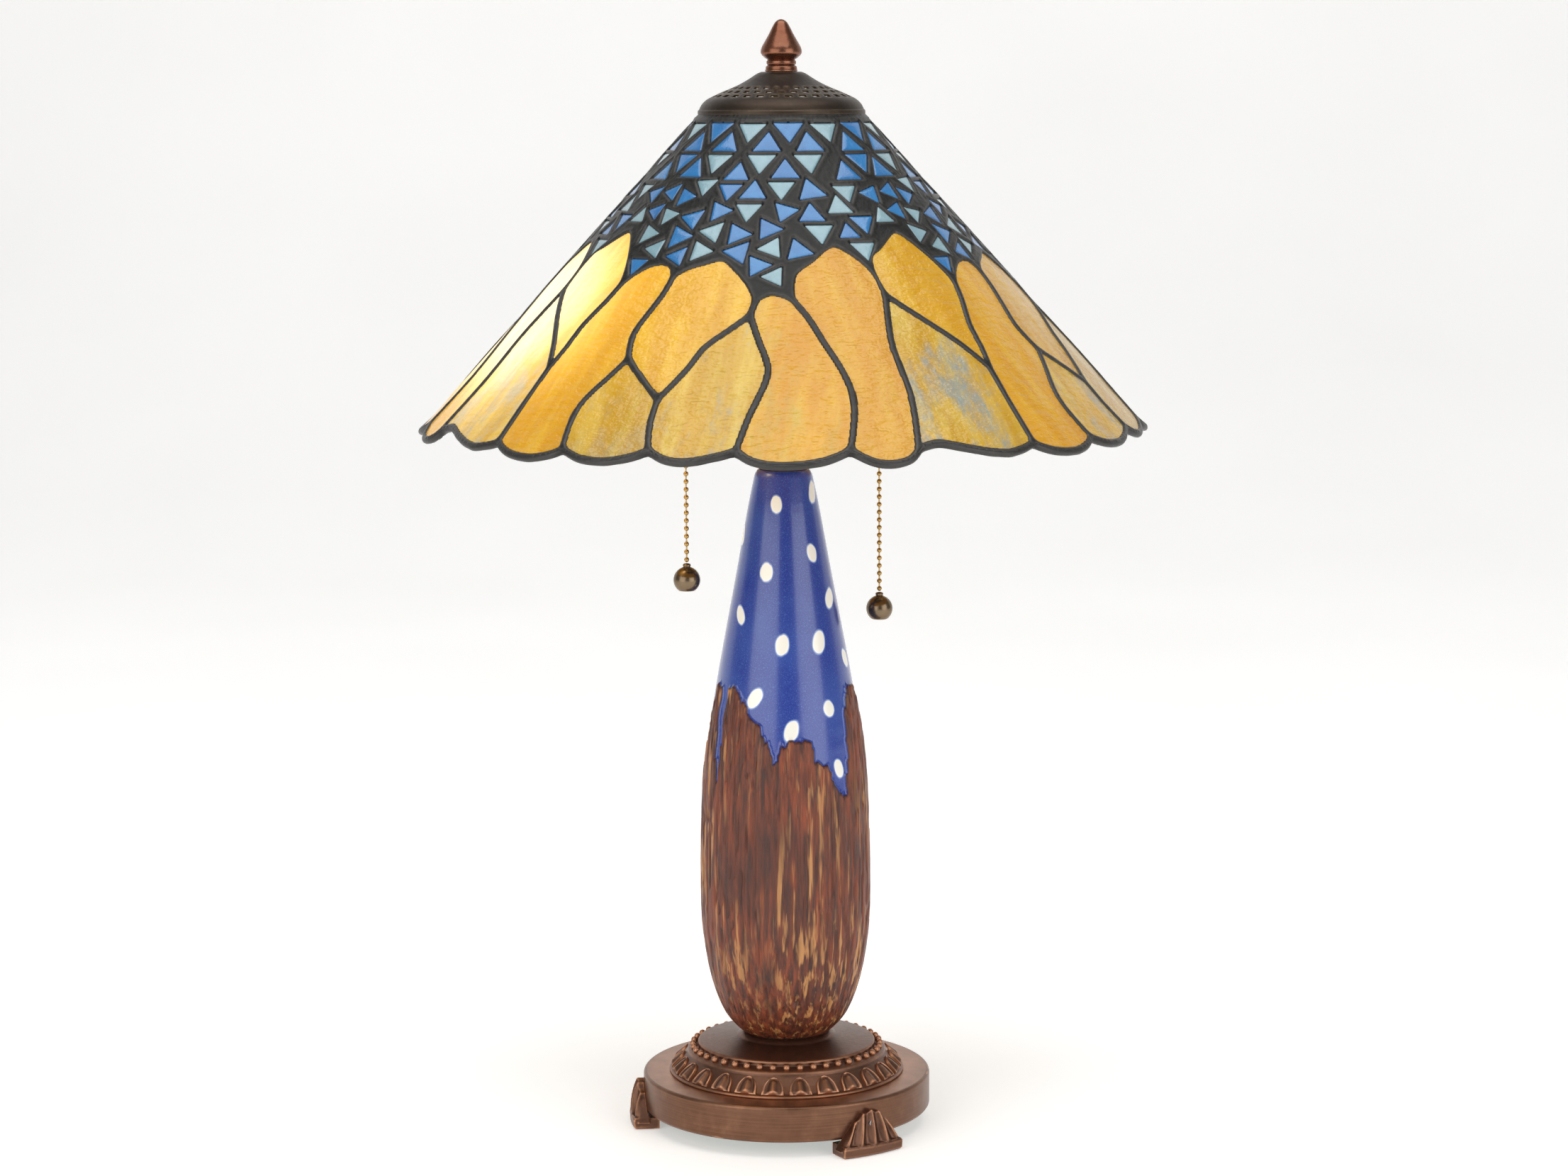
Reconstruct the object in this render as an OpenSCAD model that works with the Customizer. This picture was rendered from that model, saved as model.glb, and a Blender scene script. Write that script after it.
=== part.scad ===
// Table lamp: a cone shade of soldered glass on a glazed ceramic column and a footed metal base.
// Everything stands on z = 0, the lamp's axis is Z, and the front of the lamp faces -Y.
// Azimuths are in degrees from the front, positive towards +X.

/* [Base] */
// Radius of the round base plate
plate_r = 87; // [72:0.5:105]
// Height of the base plate's wall
plate_h = 21.8; // [18:0.1:27]
// Wall of the base plate
plate_wall = 2.5; // [1.5:0.1:3.5]
// Clear height under the base plate
plate_lift = 9.6; // [7.5:0.1:12]
// Radius of the plinth where it meets the plate
plinth_r = 71.2; // [60:0.1:71.2]
// Height of the plinth above the plate, hub included
plinth_h = 24.6; // [21:0.1:30]
// Number of tongues round the plinth
tongue_count = 26; // [16:1:32]
// Number of beads round the plinth
bead_count = 44; // [30:1:52]
// Radius of one bead
bead_r = 2.7; // [2:0.1:3]
// Radius of the iron ballast
ballast_r = 70; // [50:1:71]
// Thickness of the iron ballast
ballast_h = 11; // [6:0.5:11]

/* [Feet] */
// Azimuths of the three feet
foot_az = [33, 153, 273];
// Width of a foot
foot_w = 46; // [36:1:56]
// Height of a foot
foot_h = 27; // [22:0.5:30]
// How far a foot stands out from the plate
foot_out = 9; // [7:0.5:12]
// Radius of a foot screw
foot_screw_r = 2; // [1.5:0.1:2.5]

/* [Column] */
// Height of the ceramic column
column_h = 342; // [280:1:415]
// Scale of the column's radii
column_swell = 1; // [0.85:0.01:1.2]
// Wall of the ceramic
column_wall = 6; // [4:0.5:7]
// How far the carved bark stands out of the glaze
bark_relief = 2; // [1:0.1:3]
// Thickness of the gaskets at the column's ends
gasket_h = 0.8; // [0.5:0.1:1.5]
// Height of the copper neck ring
neck_ring_h = 5; // [4:0.1:7]

/* [Stem] */
// Radius of the threaded stem pipe
stem_r = 4.8; // [4:0.1:5.6]
// Bore of the stem pipe
stem_bore_r = 3.2; // [2.4:0.1:3.5]
// Radius of the brass riser tube
riser_r = 6.5; // [6.3:0.1:8]
// Clearance round a pipe in a hole
pipe_clear = 0.25; // [0.1:0.05:0.4]
// Clearance of what turns or slides
run_clear = 0.08; // [0.05:0.01:0.1]

/* [Shade] */
// Height from the column's top to the shade's top edge
shade_rise = 209; // [200:1:250]
// Height of the shade's cone
shade_h = 185.2; // [160:1:220]
// Radius of the cone's outer face at its top edge
shade_top_r = 50; // [48:0.5:60]
// Radius of the cone's outer face at the tips of its rim
shade_rim_r = 218; // [200:1:260]
// Thickness of the leading
lead_t = 5; // [4:0.1:6]
// Width of a lead line
lead_w = 3.4; // [2.4:0.1:4.2]
// Width of the lead along the rim
rim_w = 4.4; // [3:0.1:6]
// Thickness of the glass
glass_t = 2.6; // [2:0.1:3.2]
// Gap left for the foil round a piece of glass
foil_gap = 0.1; // [0.05:0.01:0.3]

/* [Cap] */
// Height of the vented cap
cap_h = 25; // [20:0.5:30]
// Wall of the cap
cap_wall = 1.4; // [1:0.1:2]
// Number of vents in each ring
vent_count = 30; // [18:1:34]
// Height of the finial
finial_h = 30.5; // [26:0.5:37]
// Largest radius of the finial
finial_r = 12.2; // [10:0.1:15]

/* [Sockets] */
// Azimuth of the left socket; the other lies opposite
socket_az = -72; // [-90:1:-60]
// How far the sockets lie under the shade's top edge
socket_drop = 120; // [110:1:135]
// Radius of a socket's shell
socket_r = 16.8; // [16.6:0.1:19]
// Radius of a bulb's screw base
bulb_base_r = 13; // [12.5:0.1:13.2]
// Radius of a bulb's glass
bulb_r = 20; // [19:0.5:24]
// Radius at which a pull chain hangs from the lamp's axis
pull_reach = 60.5; // [58:0.5:63]
// Travel of a pull chain
pull_travel = 8; // [6:0.5:9]
// How far the left ball hangs under its socket
left_drop = 152.8; // [120:0.1:170]
// How far the right ball hangs under its socket
right_drop = 175.9; // [140:0.1:190]
// Radius of a pull ball
ball_r = 8; // [6:0.5:10]
// Radius of a chain bead
chain_bead_r = 1.5; // [1.2:0.1:1.8]
// Distance between chain beads
chain_pitch = 4.5; // [4:0.1:6]

/* [Cord inlet] */
// Azimuth of the cord inlet
inlet_az = 213; // [205:1:220]
// Radius of the hole for the cord
inlet_r = 3.6; // [3:0.1:4.5]
// Length of the inlet bushing
inlet_len = 9; // [7:0.5:12]

/* [Hidden] */
$fn = 64;

// Heights, from the table up.
plate_top = plate_lift + plate_h;
column_z = plate_top + plinth_h;
column_top = column_z + column_h;
shade_top_z = column_top + shade_rise;
socket_z = shade_top_z - socket_drop;
cap_top = shade_top_z + cap_h;
neck_top = column_top + gasket_h + neck_ring_h;

// The cone: slant distance s runs from the top edge down to the rim.
cone_a = atan((shade_rim_r - shade_top_r) / shade_h);
shade_slant = (shade_rim_r - shade_top_r) / sin(cone_a);
pattern_slant = 250;
cone_sides = 48;
slant_k = shade_slant / pattern_slant;
function cone_r(s) = shade_top_r + s * sin(cone_a);

// Base details.
nut_h = 5;
washer_h = 1.5;
cover_h = 1.6;
felt_h = 1;
ballast_z = plate_top - plate_wall - ballast_h;
washer_z = ballast_z - washer_h;
nut_z = washer_z - nut_h;
hub_r = 27;
disc_r = 53.9;
disc_drop = 6.3;
shoulder_r = 59;
shoulder_drop = 12.6;
band_r = 61;
band_drop = 14.2;
bead_ring_r = 56.6;
tongue_r = 5.2;
screw_head_r = 3.6;
screw_head_h = 2.4;
screw_seat = 0.09;
screw_len = 8;
screw_z = 19;
toe_count = 5;
toe_r = 5.4;
toe_spread = 19;
heel_len = 9;

// Column outline: radius and share of the height, from the foot up.
column_outline = [
  [25, 0], [35.3, 0.034], [43.4, 0.096], [48.3, 0.178], [49.5, 0.26], [48.7, 0.404],
  [45.8, 0.525], [40.8, 0.626], [34.4, 0.728], [28, 0.827], [24.3, 0.887], [20.5, 0.947], [16.6, 1]
];
bark_share = 0.635;
bark_mid_r = 47;
// Drips of glaze that cut the bark's upper edge: azimuth and share of the column's height.
bark_notches = [
  [[-64, 0.635], [-60, 0.5], [-57, 0.444], [-54.5, 0.62]],
  [[-45, 0.635], [-30, 0.584], [-19.5, 0.565], [-13, 0.521], [-9, 0.486], [-4, 0.537],
    [4.5, 0.547], [6, 0.635]],
  [[4, 0.635], [5, 0.545], [11, 0.538], [19.5, 0.536], [21, 0.504], [29.5, 0.496], [32, 0.635]],
  [[28, 0.635], [29, 0.497], [36.5, 0.461], [46, 0.438], [51, 0.517], [54, 0.6], [60, 0.635]],
  [[74, 0.635], [82, 0.58], [90, 0.5], [97, 0.46], [103, 0.56], [110, 0.635]],
  [[122, 0.635], [134, 0.54], [142, 0.45], [150, 0.53], [156, 0.635]],
  [[158, 0.635], [166, 0.55], [173, 0.47], [180, 0.52], [186, 0.6], [190, 0.635]],
  [[200, 0.635], [208, 0.55], [216, 0.46], [224, 0.57], [230, 0.635]],
  [[238, 0.635], [246, 0.58], [262, 0.5], [272, 0.46], [281, 0.55], [286, 0.635]]
];

// Stem and cluster.
stem_top = socket_z - 4;
cluster_r = 15;
cluster_h = 30;
arm_r = 4.8;
arm_in = 8;
seat_nut_h = 5;
seat_washer_h = 1.5;
nipple_top = cap_top + 8;
riser_wall = 1.2;

// Socket, measured along its own axis from the lamp's axis outwards.
cap_start = 29;
shell_start = 44;
shell_end = 86;
shell_wall = 0.6;
liner_wall = 0.9;
body_start = 46;
body_end = 66;
screw_wall = 0.5;
screw_end = 83;
contact_h = 2;
base_start = body_end + contact_h + 0.3;
base_end = 90;
bulb_tip = 130;
bulb_wall = 1;
lever_r = 1.5;
lever_head_r = 3;
lever_head_h = 3;
guide_r = 3.4;
guide_len = 9;
bell_r = 2.6;
chain_start = socket_r + guide_len + 3.4;
wire_r = 0.5;
collar_r = 2.6;

// ---------- point helpers ----------
function rev(p) = [for (i = [len(p) - 1:-1:0]) p[i]];
function turned(p, az) = [for (q = p) [q[0] + az, q[1]]];
function near(a, b) = norm(a - b) < 0.001;
// A closed outline from several runs, each starting where the last one ends.
function loop(runs) =
  let (all = [for (r = runs) for (q = r) q])
  [for (i = [0:len(all) - 1]) if (!near(all[i], all[(i + 1) % len(all)])) all[i]];
// A smooth run through the given points, with n steps between two of them.
function bent(p, n = 2) = concat(
  [for (i = [0:len(p) - 2], k = [0:n - 1])
    let (a = p[max(i - 1, 0)], b = p[i], c = p[i + 1], d = p[min(i + 2, len(p) - 1)], t = k / n)
    0.5 * (2 * b + (c - a) * t + (2 * a - 5 * b + 4 * c - d) * t * t
      + (3 * b - a - 3 * c + d) * t * t * t)],
  [p[len(p) - 1]]);
// The same outline drawn in by w, for an outline that runs clockwise.
function drawn_in(p, w) = [for (i = [0:len(p) - 1])
  let (a = p[(i + len(p) - 1) % len(p)], b = p[i], c = p[(i + 1) % len(p)],
    u = (b - a) / norm(b - a), v = (c - b) / norm(c - b),
    m = [u[1], -u[0]], n = [v[1], -v[0]])
  b + w * (m + n) / max(1 + m * n, 0.15)];

// ---------- seams of the shade ----------
// Each seam is a run of [azimuth, slant] through the middle of a lead line. The pattern covers a
// quarter of the cone and repeats four times.
repeat_a = 90;
all_turns = [0:3];
near_turns = [0:2];
quarter_a = 24;
seam_crown_a = [[-65.5, 132], [-66.6, 118], [-66, 104], [-62, 98], [-54.5, 85.5], [-50, 92],
  [-46, 105], [-43.5, 118], [-43, 125]];
seam_fork_a = [[-65.5, 132], [-58, 152], [-53, 167], [-50, 180], [-48.7, 187]];
seam_rim_a = [[-65.5, 132], [-67, 149], [-68.1, 166], [-68, 182], [-67.8, 200], [-68.6, 220],
  [-69.6, 237]];
seam_side_a = [[-43, 125], [-44.5, 138], [-47, 155], [-47.6, 171], [-48.7, 187]];
seam_rim_b = [[-48.7, 187], [-49, 213], [-49, 238]];
seam_crown_b = [[-43, 125], [-41, 118], [-37, 110.5], [-33, 108.5], [-29.8, 111], [-28.3, 118]];
seam_side_b = [[-28.3, 118], [-29, 131], [-31, 148], [-32, 161], [-30.5, 177]];
seam_rim_c = [[-30.5, 177], [-33, 191], [-35.3, 204], [-36.2, 218], [-35.1, 238]];
seam_fork_b = [[-30.5, 177], [-26, 190], [-21.5, 204]];
seam_rim_d = [[-21.5, 204], [-21.5, 221], [-20.5, 236]];
seam_crown_c = [[-28.3, 118], [-25, 111.5], [-20, 107.5], [-16, 104.5], [-12, 112], [-8, 123],
  [-6, 134]];
seam_side_c = [[-6, 134], [-7, 145]];
seam_fork_c = [[-7, 145], [-12, 158], [-15.5, 168], [-17.5, 182], [-21.5, 204]];
seam_rim_e = [[-7, 145], [-4.5, 165], [-2.6, 182], [-3.6, 197], [-5.6, 216], [-7, 236]];
seam_crown_d = [[-6, 134], [-2.5, 129], [2, 133]];
seam_rim_f = [[2, 133], [5.5, 147], [8.2, 165], [10.6, 182], [11.9, 200], [11.4, 217],
  [10, 236]];
seam_crown_e = [[2, 133], [2.6, 116], [7.5, 106.5], [11, 99], [14.5, 95], [18, 99],
  [22, 108.5], [24.2, 119], [24.5, 132]];
// Rim of each petal, left to right, along the outer edge of the rim lead.
rim_a = [[-69.6, 241], [-66, 237], [-61, 242], [-54.5, 247], [-49, 242]];
rim_b = [[-49, 242], [-45.5, 248], [-40.5, 250], [-36.5, 246], [-35.1, 242]];
rim_c = [[-35.1, 242], [-31.5, 248], [-26.5, 249], [-22, 244], [-20.5, 240]];
rim_d = [[-20.5, 240], [-18, 246], [-14.5, 248], [-10, 244], [-7, 240]];
rim_e = [[-7, 240], [-4.5, 247], [0, 250], [6, 247], [10, 240]];
rim_f = [[10, 240], [13, 248], [16, 250], [19, 247], [20.4, 241]];
rim_runs = [rim_a, rim_b, rim_c, rim_d, rim_e, rim_f];
// The glass stops short of the rim by the rim lead.
function sill(r) = [for (i = [0:len(r) - 1]) [r[i][0], r[i][1] - (rim_w - lead_w / 2) / slant_k]];
function seam(p) = bent(p);
function foot_of(p, r) = concat([for (i = [0:len(p) - 2]) p[i]], [r]);
// A seam that ends on the rim, cut to meet the sill.
function rim_seam(p, r) = bent(foot_of(p, sill(r)[0]));
run_a = rim_seam(seam_rim_a, rim_a);
run_b = rim_seam(seam_rim_b, rim_b);
run_c = rim_seam(seam_rim_c, rim_c);
run_d = rim_seam(seam_rim_d, rim_d);
run_e = rim_seam(seam_rim_e, rim_e);
run_f = rim_seam(seam_rim_f, rim_f);
run_next = rim_seam(turned(seam_rim_a, repeat_a), turned(rim_a, repeat_a));
function sill_back(r) = rev(bent(sill(r)));
upper_petals = [
  [seam(seam_crown_a), seam(seam_side_a), rev(seam(seam_fork_a))],
  [seam(seam_crown_c), seam(seam_side_c), seam(seam_fork_c), rev(seam(seam_fork_b)),
    rev(seam(seam_side_b))]
];
lower_petals = [
  [seam(seam_fork_a), run_b, sill_back(rim_a), rev(run_a)],
  [seam(seam_fork_b), run_d, sill_back(rim_c), rev(run_c)],
  [run_e, sill_back(rim_d), rev(run_d), rev(seam(seam_fork_c))]
];
tall_petals = [
  [seam(seam_crown_b), seam(seam_side_b), run_c, sill_back(rim_b), rev(run_b),
    rev(seam(seam_side_a))],
  [seam(seam_crown_d), run_f, sill_back(rim_e), rev(run_e), rev(seam(seam_side_c))],
  [seam(seam_crown_e), run_next, sill_back(rim_f), rev(run_f)]
];

// Jewels of one quarter: azimuth, slant of the middle, turn (0 points up, 180 down) and side.
bright_set = [
  [-40.75, 9.25, 180, 19], [4.25, 9.25, 180, 19], [-51.5, 20.75, 0, 18], [-30, 20.75, 0, 18],
  [-7.5, 20.75, 0, 18], [14.5, 20.75, 0, 18], [-51.5, 33.25, 180, 18], [-61.5, 42.5, 0, 18],
  [-41.75, 40.25, 0, 18], [-19, 42.75, 0, 16.75], [1.5, 41, 0, 18], [-55.25, 58.5, 200, 14.75],
  [-45.5, 56.75, 90, 14.25], [-37.75, 60.25, 35, 14.75], [-20.25, 54.75, 180, 15.75],
  [-10.75, 56.25, 0, 17], [11, 55.75, 10, 18], [-63.5, 79.25, 180, 16.25],
  [-47.75, 71.25, 205, 14], [-30.25, 76, 80, 16.25], [-21.5, 70.25, 35, 15.75],
  [1, 70.5, 160, 15.75], [9.75, 73.25, 0, 16.75], [-32.25, 89.25, 35, 17.5],
  [-13.5, 87, 30, 16.5], [-4.25, 83.25, 30, 16.5], [20.5, 86.5, 0, 14], [-29.75, 103.5, 90, 15],
  [-12.25, 100, 85, 17.5], [4.5, 99, 15, 17], [-41.75, 110.5, 180, 15], [-6.5, 109.75, 35, 16]
];
pale_set = [
  [-63.25, 9.75, 180, 18], [-18.25, 9.75, 180, 18], [-31, 33.25, 180, 18], [-9.5, 33.25, 180, 18],
  [12.5, 33.25, 180, 18], [-65.5, 56.25, 180, 15.75], [-31, 51.5, 185, 15.25],
  [-0.25, 53.25, 180, 16.75], [-55, 75.5, 0, 14.25], [-40.5, 74.25, 165, 14.25],
  [-11.5, 69.5, 180, 16.5], [20, 67.5, 0, 16.75], [-44.5, 88, 35, 15.5], [-21.5, 85.5, 85, 16.5],
  [11.5, 85.5, 180, 17.5], [-38.5, 98.5, 90, 15], [-23.5, 99.5, 30, 16], [-3, 97, 95, 16],
  [23.5, 98.5, 180, 16.5], [-2, 117.5, 90, 15]
];

// ---------- shade helpers ----------
// A point [azimuth, slant] laid flat in the plane that touches the cone at azimuth a.
function flat_pt(q, a) =
  let (s = q[1] * slant_k, r = cone_r(s), d = q[0] - a)
  [r * sin(d), -(s - r * (1 - cos(d)) * sin(cone_a))];
function mid_az(p) = (max([for (q = p) q[0]]) + min([for (q = p) q[0]])) / 2;
function half_az(p) = (max([for (q = p) q[0]]) - min([for (q = p) q[0]])) / 2;
function mid_s(p) = (max([for (q = p) q[1]]) + min([for (q = p) q[1]])) / 2;
// How far a flat pane sinks so that its middle and its edges lie equally off the cone.
function pane_sink(p) =
  cone_r(mid_s(p) * slant_k) * (1 - cos(half_az(p) * 0.8)) * cos(cone_a) / 2;
function jewel_pts(side) = [for (k = [0:2]) side / sqrt(3) * [cos(90 - 120 * k), sin(90 - 120 * k)]];

// Stands its child in the middle of the cone's wall at azimuth a, with +Y up the slope and +Z
// out of the shade.
module on_cone(a) {
  rotate([0, 0, a])
    translate([0, -shade_top_r, shade_top_z])
      rotate([90 - cone_a, 0, 0])
        translate([0, 0, -lead_t / 2])
          children();
}

// A flat pane of thickness t with the outline of a petal, drawn in by w.
module petal_pane(runs, w, t, turns) {
  p = loop(runs);
  a = mid_az(p);
  for (k = turns)
    on_cone(a + k * repeat_a)
      translate([0, 0, -pane_sink(p)])
        linear_extrude(height = t, center = true)
          polygon(drawn_in([for (q = p) flat_pt(q, a)], w));
}

module petal_panes(set, w, t, turns = all_turns) {
  for (runs = set)
    petal_pane(runs, w, t, turns);
}

module jewel_panes(set, grow, t) {
  for (j = set, k = all_turns)
    on_cone(j[0] + k * repeat_a)
      translate([0, -j[1] * slant_k, 0])
        rotate([0, 0, j[2]])
          linear_extrude(height = t, center = true)
            polygon(jewel_pts(j[3] * slant_k + grow * 2 * sqrt(3)));
}

// Holes for the jewels, hulled from their two faces so that the network stays one light mesh.
module jewel_holes(set, turns) {
  for (j = set, k = turns)
    on_cone(j[0] + k * repeat_a)
      translate([0, -j[1] * slant_k, 0])
        rotate([0, 0, j[2]])
          hull()
            linear_extrude(height = lead_t * 3, center = true)
              polygon(jewel_pts(j[3] * slant_k));
}

// What is cut off below the scallops of the rim.
module rim_cut(turns) {
  past = 12;
  lap = 0.6;
  for (r = rim_runs, k = turns) {
    edge = bent(r);
    a = mid_az(edge);
    left = edge[0] - [lap, 0];
    right = edge[len(edge) - 1] + [lap, 0];
    low = [[right[0], pattern_slant + past], [left[0], pattern_slant + past]];
    on_cone(a + k * repeat_a)
      linear_extrude(height = lead_t * 3, center = true)
        polygon([for (q = concat([left], edge, [right], low)) flat_pt(q, a)]);
  }
}

// ---------- base ----------
module base_plate() {
  edge = 2;
  inner = plate_r - plate_wall;
  color("#9a5a38")
    difference() {
      rotate_extrude($fn = 128)
        polygon([[hub_r - 6, plate_top], [plate_r - edge, plate_top], [plate_r, plate_top - edge],
          [plate_r, plate_lift + 1], [plate_r - 1, plate_lift], [inner, plate_lift],
          [inner, plate_top - plate_wall], [hub_r - 6, plate_top - plate_wall]]);
      inlet_hole(inlet_r + 1.9);
      for (a = foot_az)
        on_wall(a, screw_z)
          cylinder(r = foot_screw_r + 0.1, h = plate_wall * 4, center = true);
    }
}

// Stands its child on the plate's inner wall, with +Z pointing outwards.
module on_wall(a, z) {
  rotate([0, 0, a])
    translate([0, -plate_r + plate_wall, z])
      rotate([90, 0, 0])
        children();
}

module inlet_hole(r) {
  on_wall(inlet_az, plate_lift + plate_h / 2)
    cylinder(r = r, h = plate_wall * 6, center = true);
}

module base_plinth() {
  t = 3;
  color("#6b3c2a")
    union() {
      rotate_extrude($fn = 128)
        polygon([[stem_r + pipe_clear, column_z - gasket_h], [hub_r, column_z - gasket_h],
          [hub_r + 2, column_z - 1.6], [disc_r, column_z - disc_drop],
          [disc_r, column_z - disc_drop - 2], [shoulder_r, column_z - shoulder_drop + 1],
          [band_r, column_z - band_drop], [plinth_r - 4, plate_top + 4], [plinth_r, plate_top + 1],
          [plinth_r, plate_top], [plinth_r - t, plate_top], [band_r - t, column_z - band_drop - t],
          [disc_r - t, column_z - disc_drop - t], [stem_r + pipe_clear, column_z - disc_drop - t]]);
      for (k = [0:bead_count - 1])
        rotate([0, 0, k * 360 / bead_count])
          translate([0, -bead_ring_r, column_z - disc_drop - 2.6])
            sphere(r = bead_r, $fn = 24);
      for (k = [0:tongue_count - 1])
        rotate([0, 0, (k + 0.5) * 360 / tongue_count])
          translate([0, -band_r - 1, column_z - band_drop - 0.5])
            rotate([47, 0, 0])
              cylinder(r = tongue_r, h = 3.2, center = true, $fn = 32);
    }
}

module ballast_weight() {
  color("#3b3b3d")
    translate([0, 0, ballast_z])
      difference() {
        cylinder(r = ballast_r, h = ballast_h, $fn = 96);
        translate([0, 0, -1])
          cylinder(r = stem_r + pipe_clear, h = ballast_h + 2);
      }
}

module bottom_cover() {
  color("#7a6a55")
    translate([0, 0, plate_lift + felt_h])
      difference() {
        cylinder(r = plate_r - plate_wall - 0.1, h = cover_h, $fn = 96);
        translate([0, 0, -1])
          cylinder(r = stem_r * 3, h = cover_h + 2);
      }
}

module base_felt() {
  color("#3f4a3c")
    translate([0, 0, plate_lift + 0.1])
      difference() {
        cylinder(r = plate_r - plate_wall - heel_len, h = felt_h - 0.1, $fn = 96);
        translate([0, 0, -1])
          cylinder(r = stem_r * 3, h = cover_h + 2);
      }
}

// One paw foot at azimuth a: a fan of toes over a flat band, hooked under the plate's wall.
module paw_foot(a) {
  face = plate_r + 0.05;
  band_h = 6;
  rotate([0, 0, a])
    difference() {
      union() {
        intersection() {
          rotate_extrude($fn = 128)
            polygon([[plate_r - heel_len, 0], [plate_r + foot_out, 0], [plate_r + foot_out, band_h],
              [plate_r + foot_out - 1.6, band_h + 0.8], [plate_r + foot_out - 3, foot_h * 0.6],
              [plate_r + 3, foot_h], [face, foot_h], [face, plate_lift - 0.05],
              [plate_r - heel_len, plate_lift - 0.05]]);
          translate([-foot_w / 2, -plate_r - foot_out - 5, 0])
            cube([foot_w, foot_out + heel_len + 5, foot_h]);
          translate([0, -plate_r - foot_out - 5, 3])
            rotate([-90, 0, 0])
              cylinder(r = foot_h - 2.4, h = foot_out + heel_len + 10, $fn = 96);
        }
        for (k = [0:toe_count - 1])
          translate([0, -plate_r - 2.2, 4])
            rotate([0, (k - (toe_count - 1) / 2) * toe_spread, 0])
              translate([0, 0, 6])
                rotate([8, 0, 0])
                  cylinder(r1 = toe_r, r2 = toe_r * 0.55, h = foot_h - toe_r * 2.4, $fn = 32);
      }
      translate([0, 0, -foot_h])
        cylinder(r = face, h = foot_h * 4, $fn = 128);
      translate([0, -plate_r - foot_out, screw_z])
        rotate([90, 0, 0])
          translate([0, 0, -foot_out - 1])
            cylinder(r = foot_screw_r, h = 6.5);
    }
  rotate([0, 0, a])
    intersection() {
      rotate_extrude($fn = 128)
        polygon([[plate_r - heel_len, 0], [face, 0], [face, plate_lift - 0.05],
          [plate_r - heel_len, plate_lift - 0.05]]);
      translate([-foot_w / 2 + 2, -plate_r - 5, 0])
        cube([foot_w - 4, heel_len + 10, foot_h]);
    }
}

module front_foot() {
  color("#5d3a2c")
    union()
      paw_foot(foot_az[0]);
}

module back_foot() {
  color("#5d3a2c")
    union()
      paw_foot(foot_az[1]);
}

module left_foot() {
  color("#5d3a2c")
    union()
      paw_foot(foot_az[2]);
}

module foot_screws() {
  color("#b0a070")
    for (a = foot_az)
      on_wall(a, screw_z) {
        translate([0, 0, -screw_head_h - screw_seat])
          cylinder(r = screw_head_r, h = screw_head_h);
        translate([0, 0, -screw_seat - 0.5])
          cylinder(r = foot_screw_r, h = screw_len + screw_seat + 0.5);
      }
}

module cord_bushing() {
  color("#1c1c1c")
    on_wall(inlet_az, plate_lift + plate_h / 2)
      difference() {
        union() {
          translate([0, 0, plate_wall + 0.05])
            cylinder(r = inlet_r + 3.4, h = 1.6);
          translate([0, 0, -inlet_len + plate_wall + 1.65])
            cylinder(r = inlet_r + 1.8, h = inlet_len);
        }
        translate([0, 0, -inlet_len * 2])
          cylinder(r = inlet_r, h = inlet_len * 4);
      }
}

// ---------- stem and column ----------
module pipe(r, bore, h) {
  difference() {
    cylinder(r = r, h = h);
    translate([0, 0, -1])
      cylinder(r = bore, h = h + 2);
  }
}

module hex_nut(across, bore, h) {
  difference() {
    cylinder(r = across / sqrt(3), h = h, $fn = 6);
    translate([0, 0, -1])
      cylinder(r = bore, h = h + 2);
  }
}

module stem_nut() {
  color("#c0a860")
    translate([0, 0, nut_z])
      hex_nut(stem_r * 3, stem_r, nut_h);
}

module stem_washer() {
  color("#b8b8b8")
    translate([0, 0, washer_z])
      pipe(stem_r * 2.4, stem_r + pipe_clear, washer_h);
}

module stem_pipe() {
  color("#c9ac62")
    translate([0, 0, nut_z - 0.5])
      pipe(stem_r, stem_bore_r, stem_top - nut_z + 0.5);
}

column_pts = bent([for (q = column_outline) [q[0] * column_swell, column_z + q[1] * column_h]], 3);
function column_skin(out) = [for (q = column_pts) [q[0] + out, q[1]]];

// The bark band: a proud skin whose upper edge is cut by one notch for each drip of glaze.
module bark_shape() {
  top = column_z + bark_share * column_h;
  difference() {
    rotate_extrude($fn = 96)
      polygon(concat([[0, column_z]],
        [for (q = column_skin(bark_relief)) if (q[1] < top) q], [[0, top]]));
    for (n = bark_notches)
      glaze_drip(n);
  }
}

// A drip of glaze that runs down into the bark: a run of [azimuth, share of the height].
module glaze_drip(n) {
  reach = 70 * column_swell;
  mid = mid_az(n);
  high = bark_share + 0.02;
  edge = concat([[n[0][0], high]], n, [[n[len(n) - 1][0], high]]);
  rotate([0, 0, mid])
    rotate([90, 0, 0])
      linear_extrude(height = reach)
        polygon([for (q = edge)
          [bark_mid_r * column_swell * sin(q[0] - mid), column_z + q[1] * column_h]]);
}

module ceramic_column() {
  inside = [for (q = column_pts) [max(q[0] - column_wall, stem_r + 2), q[1]]];
  n = len(inside) - 1;
  color("#16408f")
    difference() {
      union() {
        rotate_extrude($fn = 96)
          polygon(concat([[0, column_z]], column_pts, [[0, column_top]]));
        bark_shape();
      }
      rotate_extrude($fn = 96)
        polygon(concat([[0, column_z + column_wall]],
          [for (i = [0:n]) if (inside[i][1] > column_z + column_wall
            && inside[i][1] < column_top - column_wall) inside[i]],
          [[0, column_top - column_wall]]));
      translate([0, 0, column_z - 1])
        cylinder(r = stem_r + 1, h = column_h + 2);
    }
}

module column_gasket() {
  color("#2a2a28")
    translate([0, 0, column_z - gasket_h])
      pipe(column_outline[0][0] * column_swell - 1, stem_r + pipe_clear, gasket_h);
}

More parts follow.
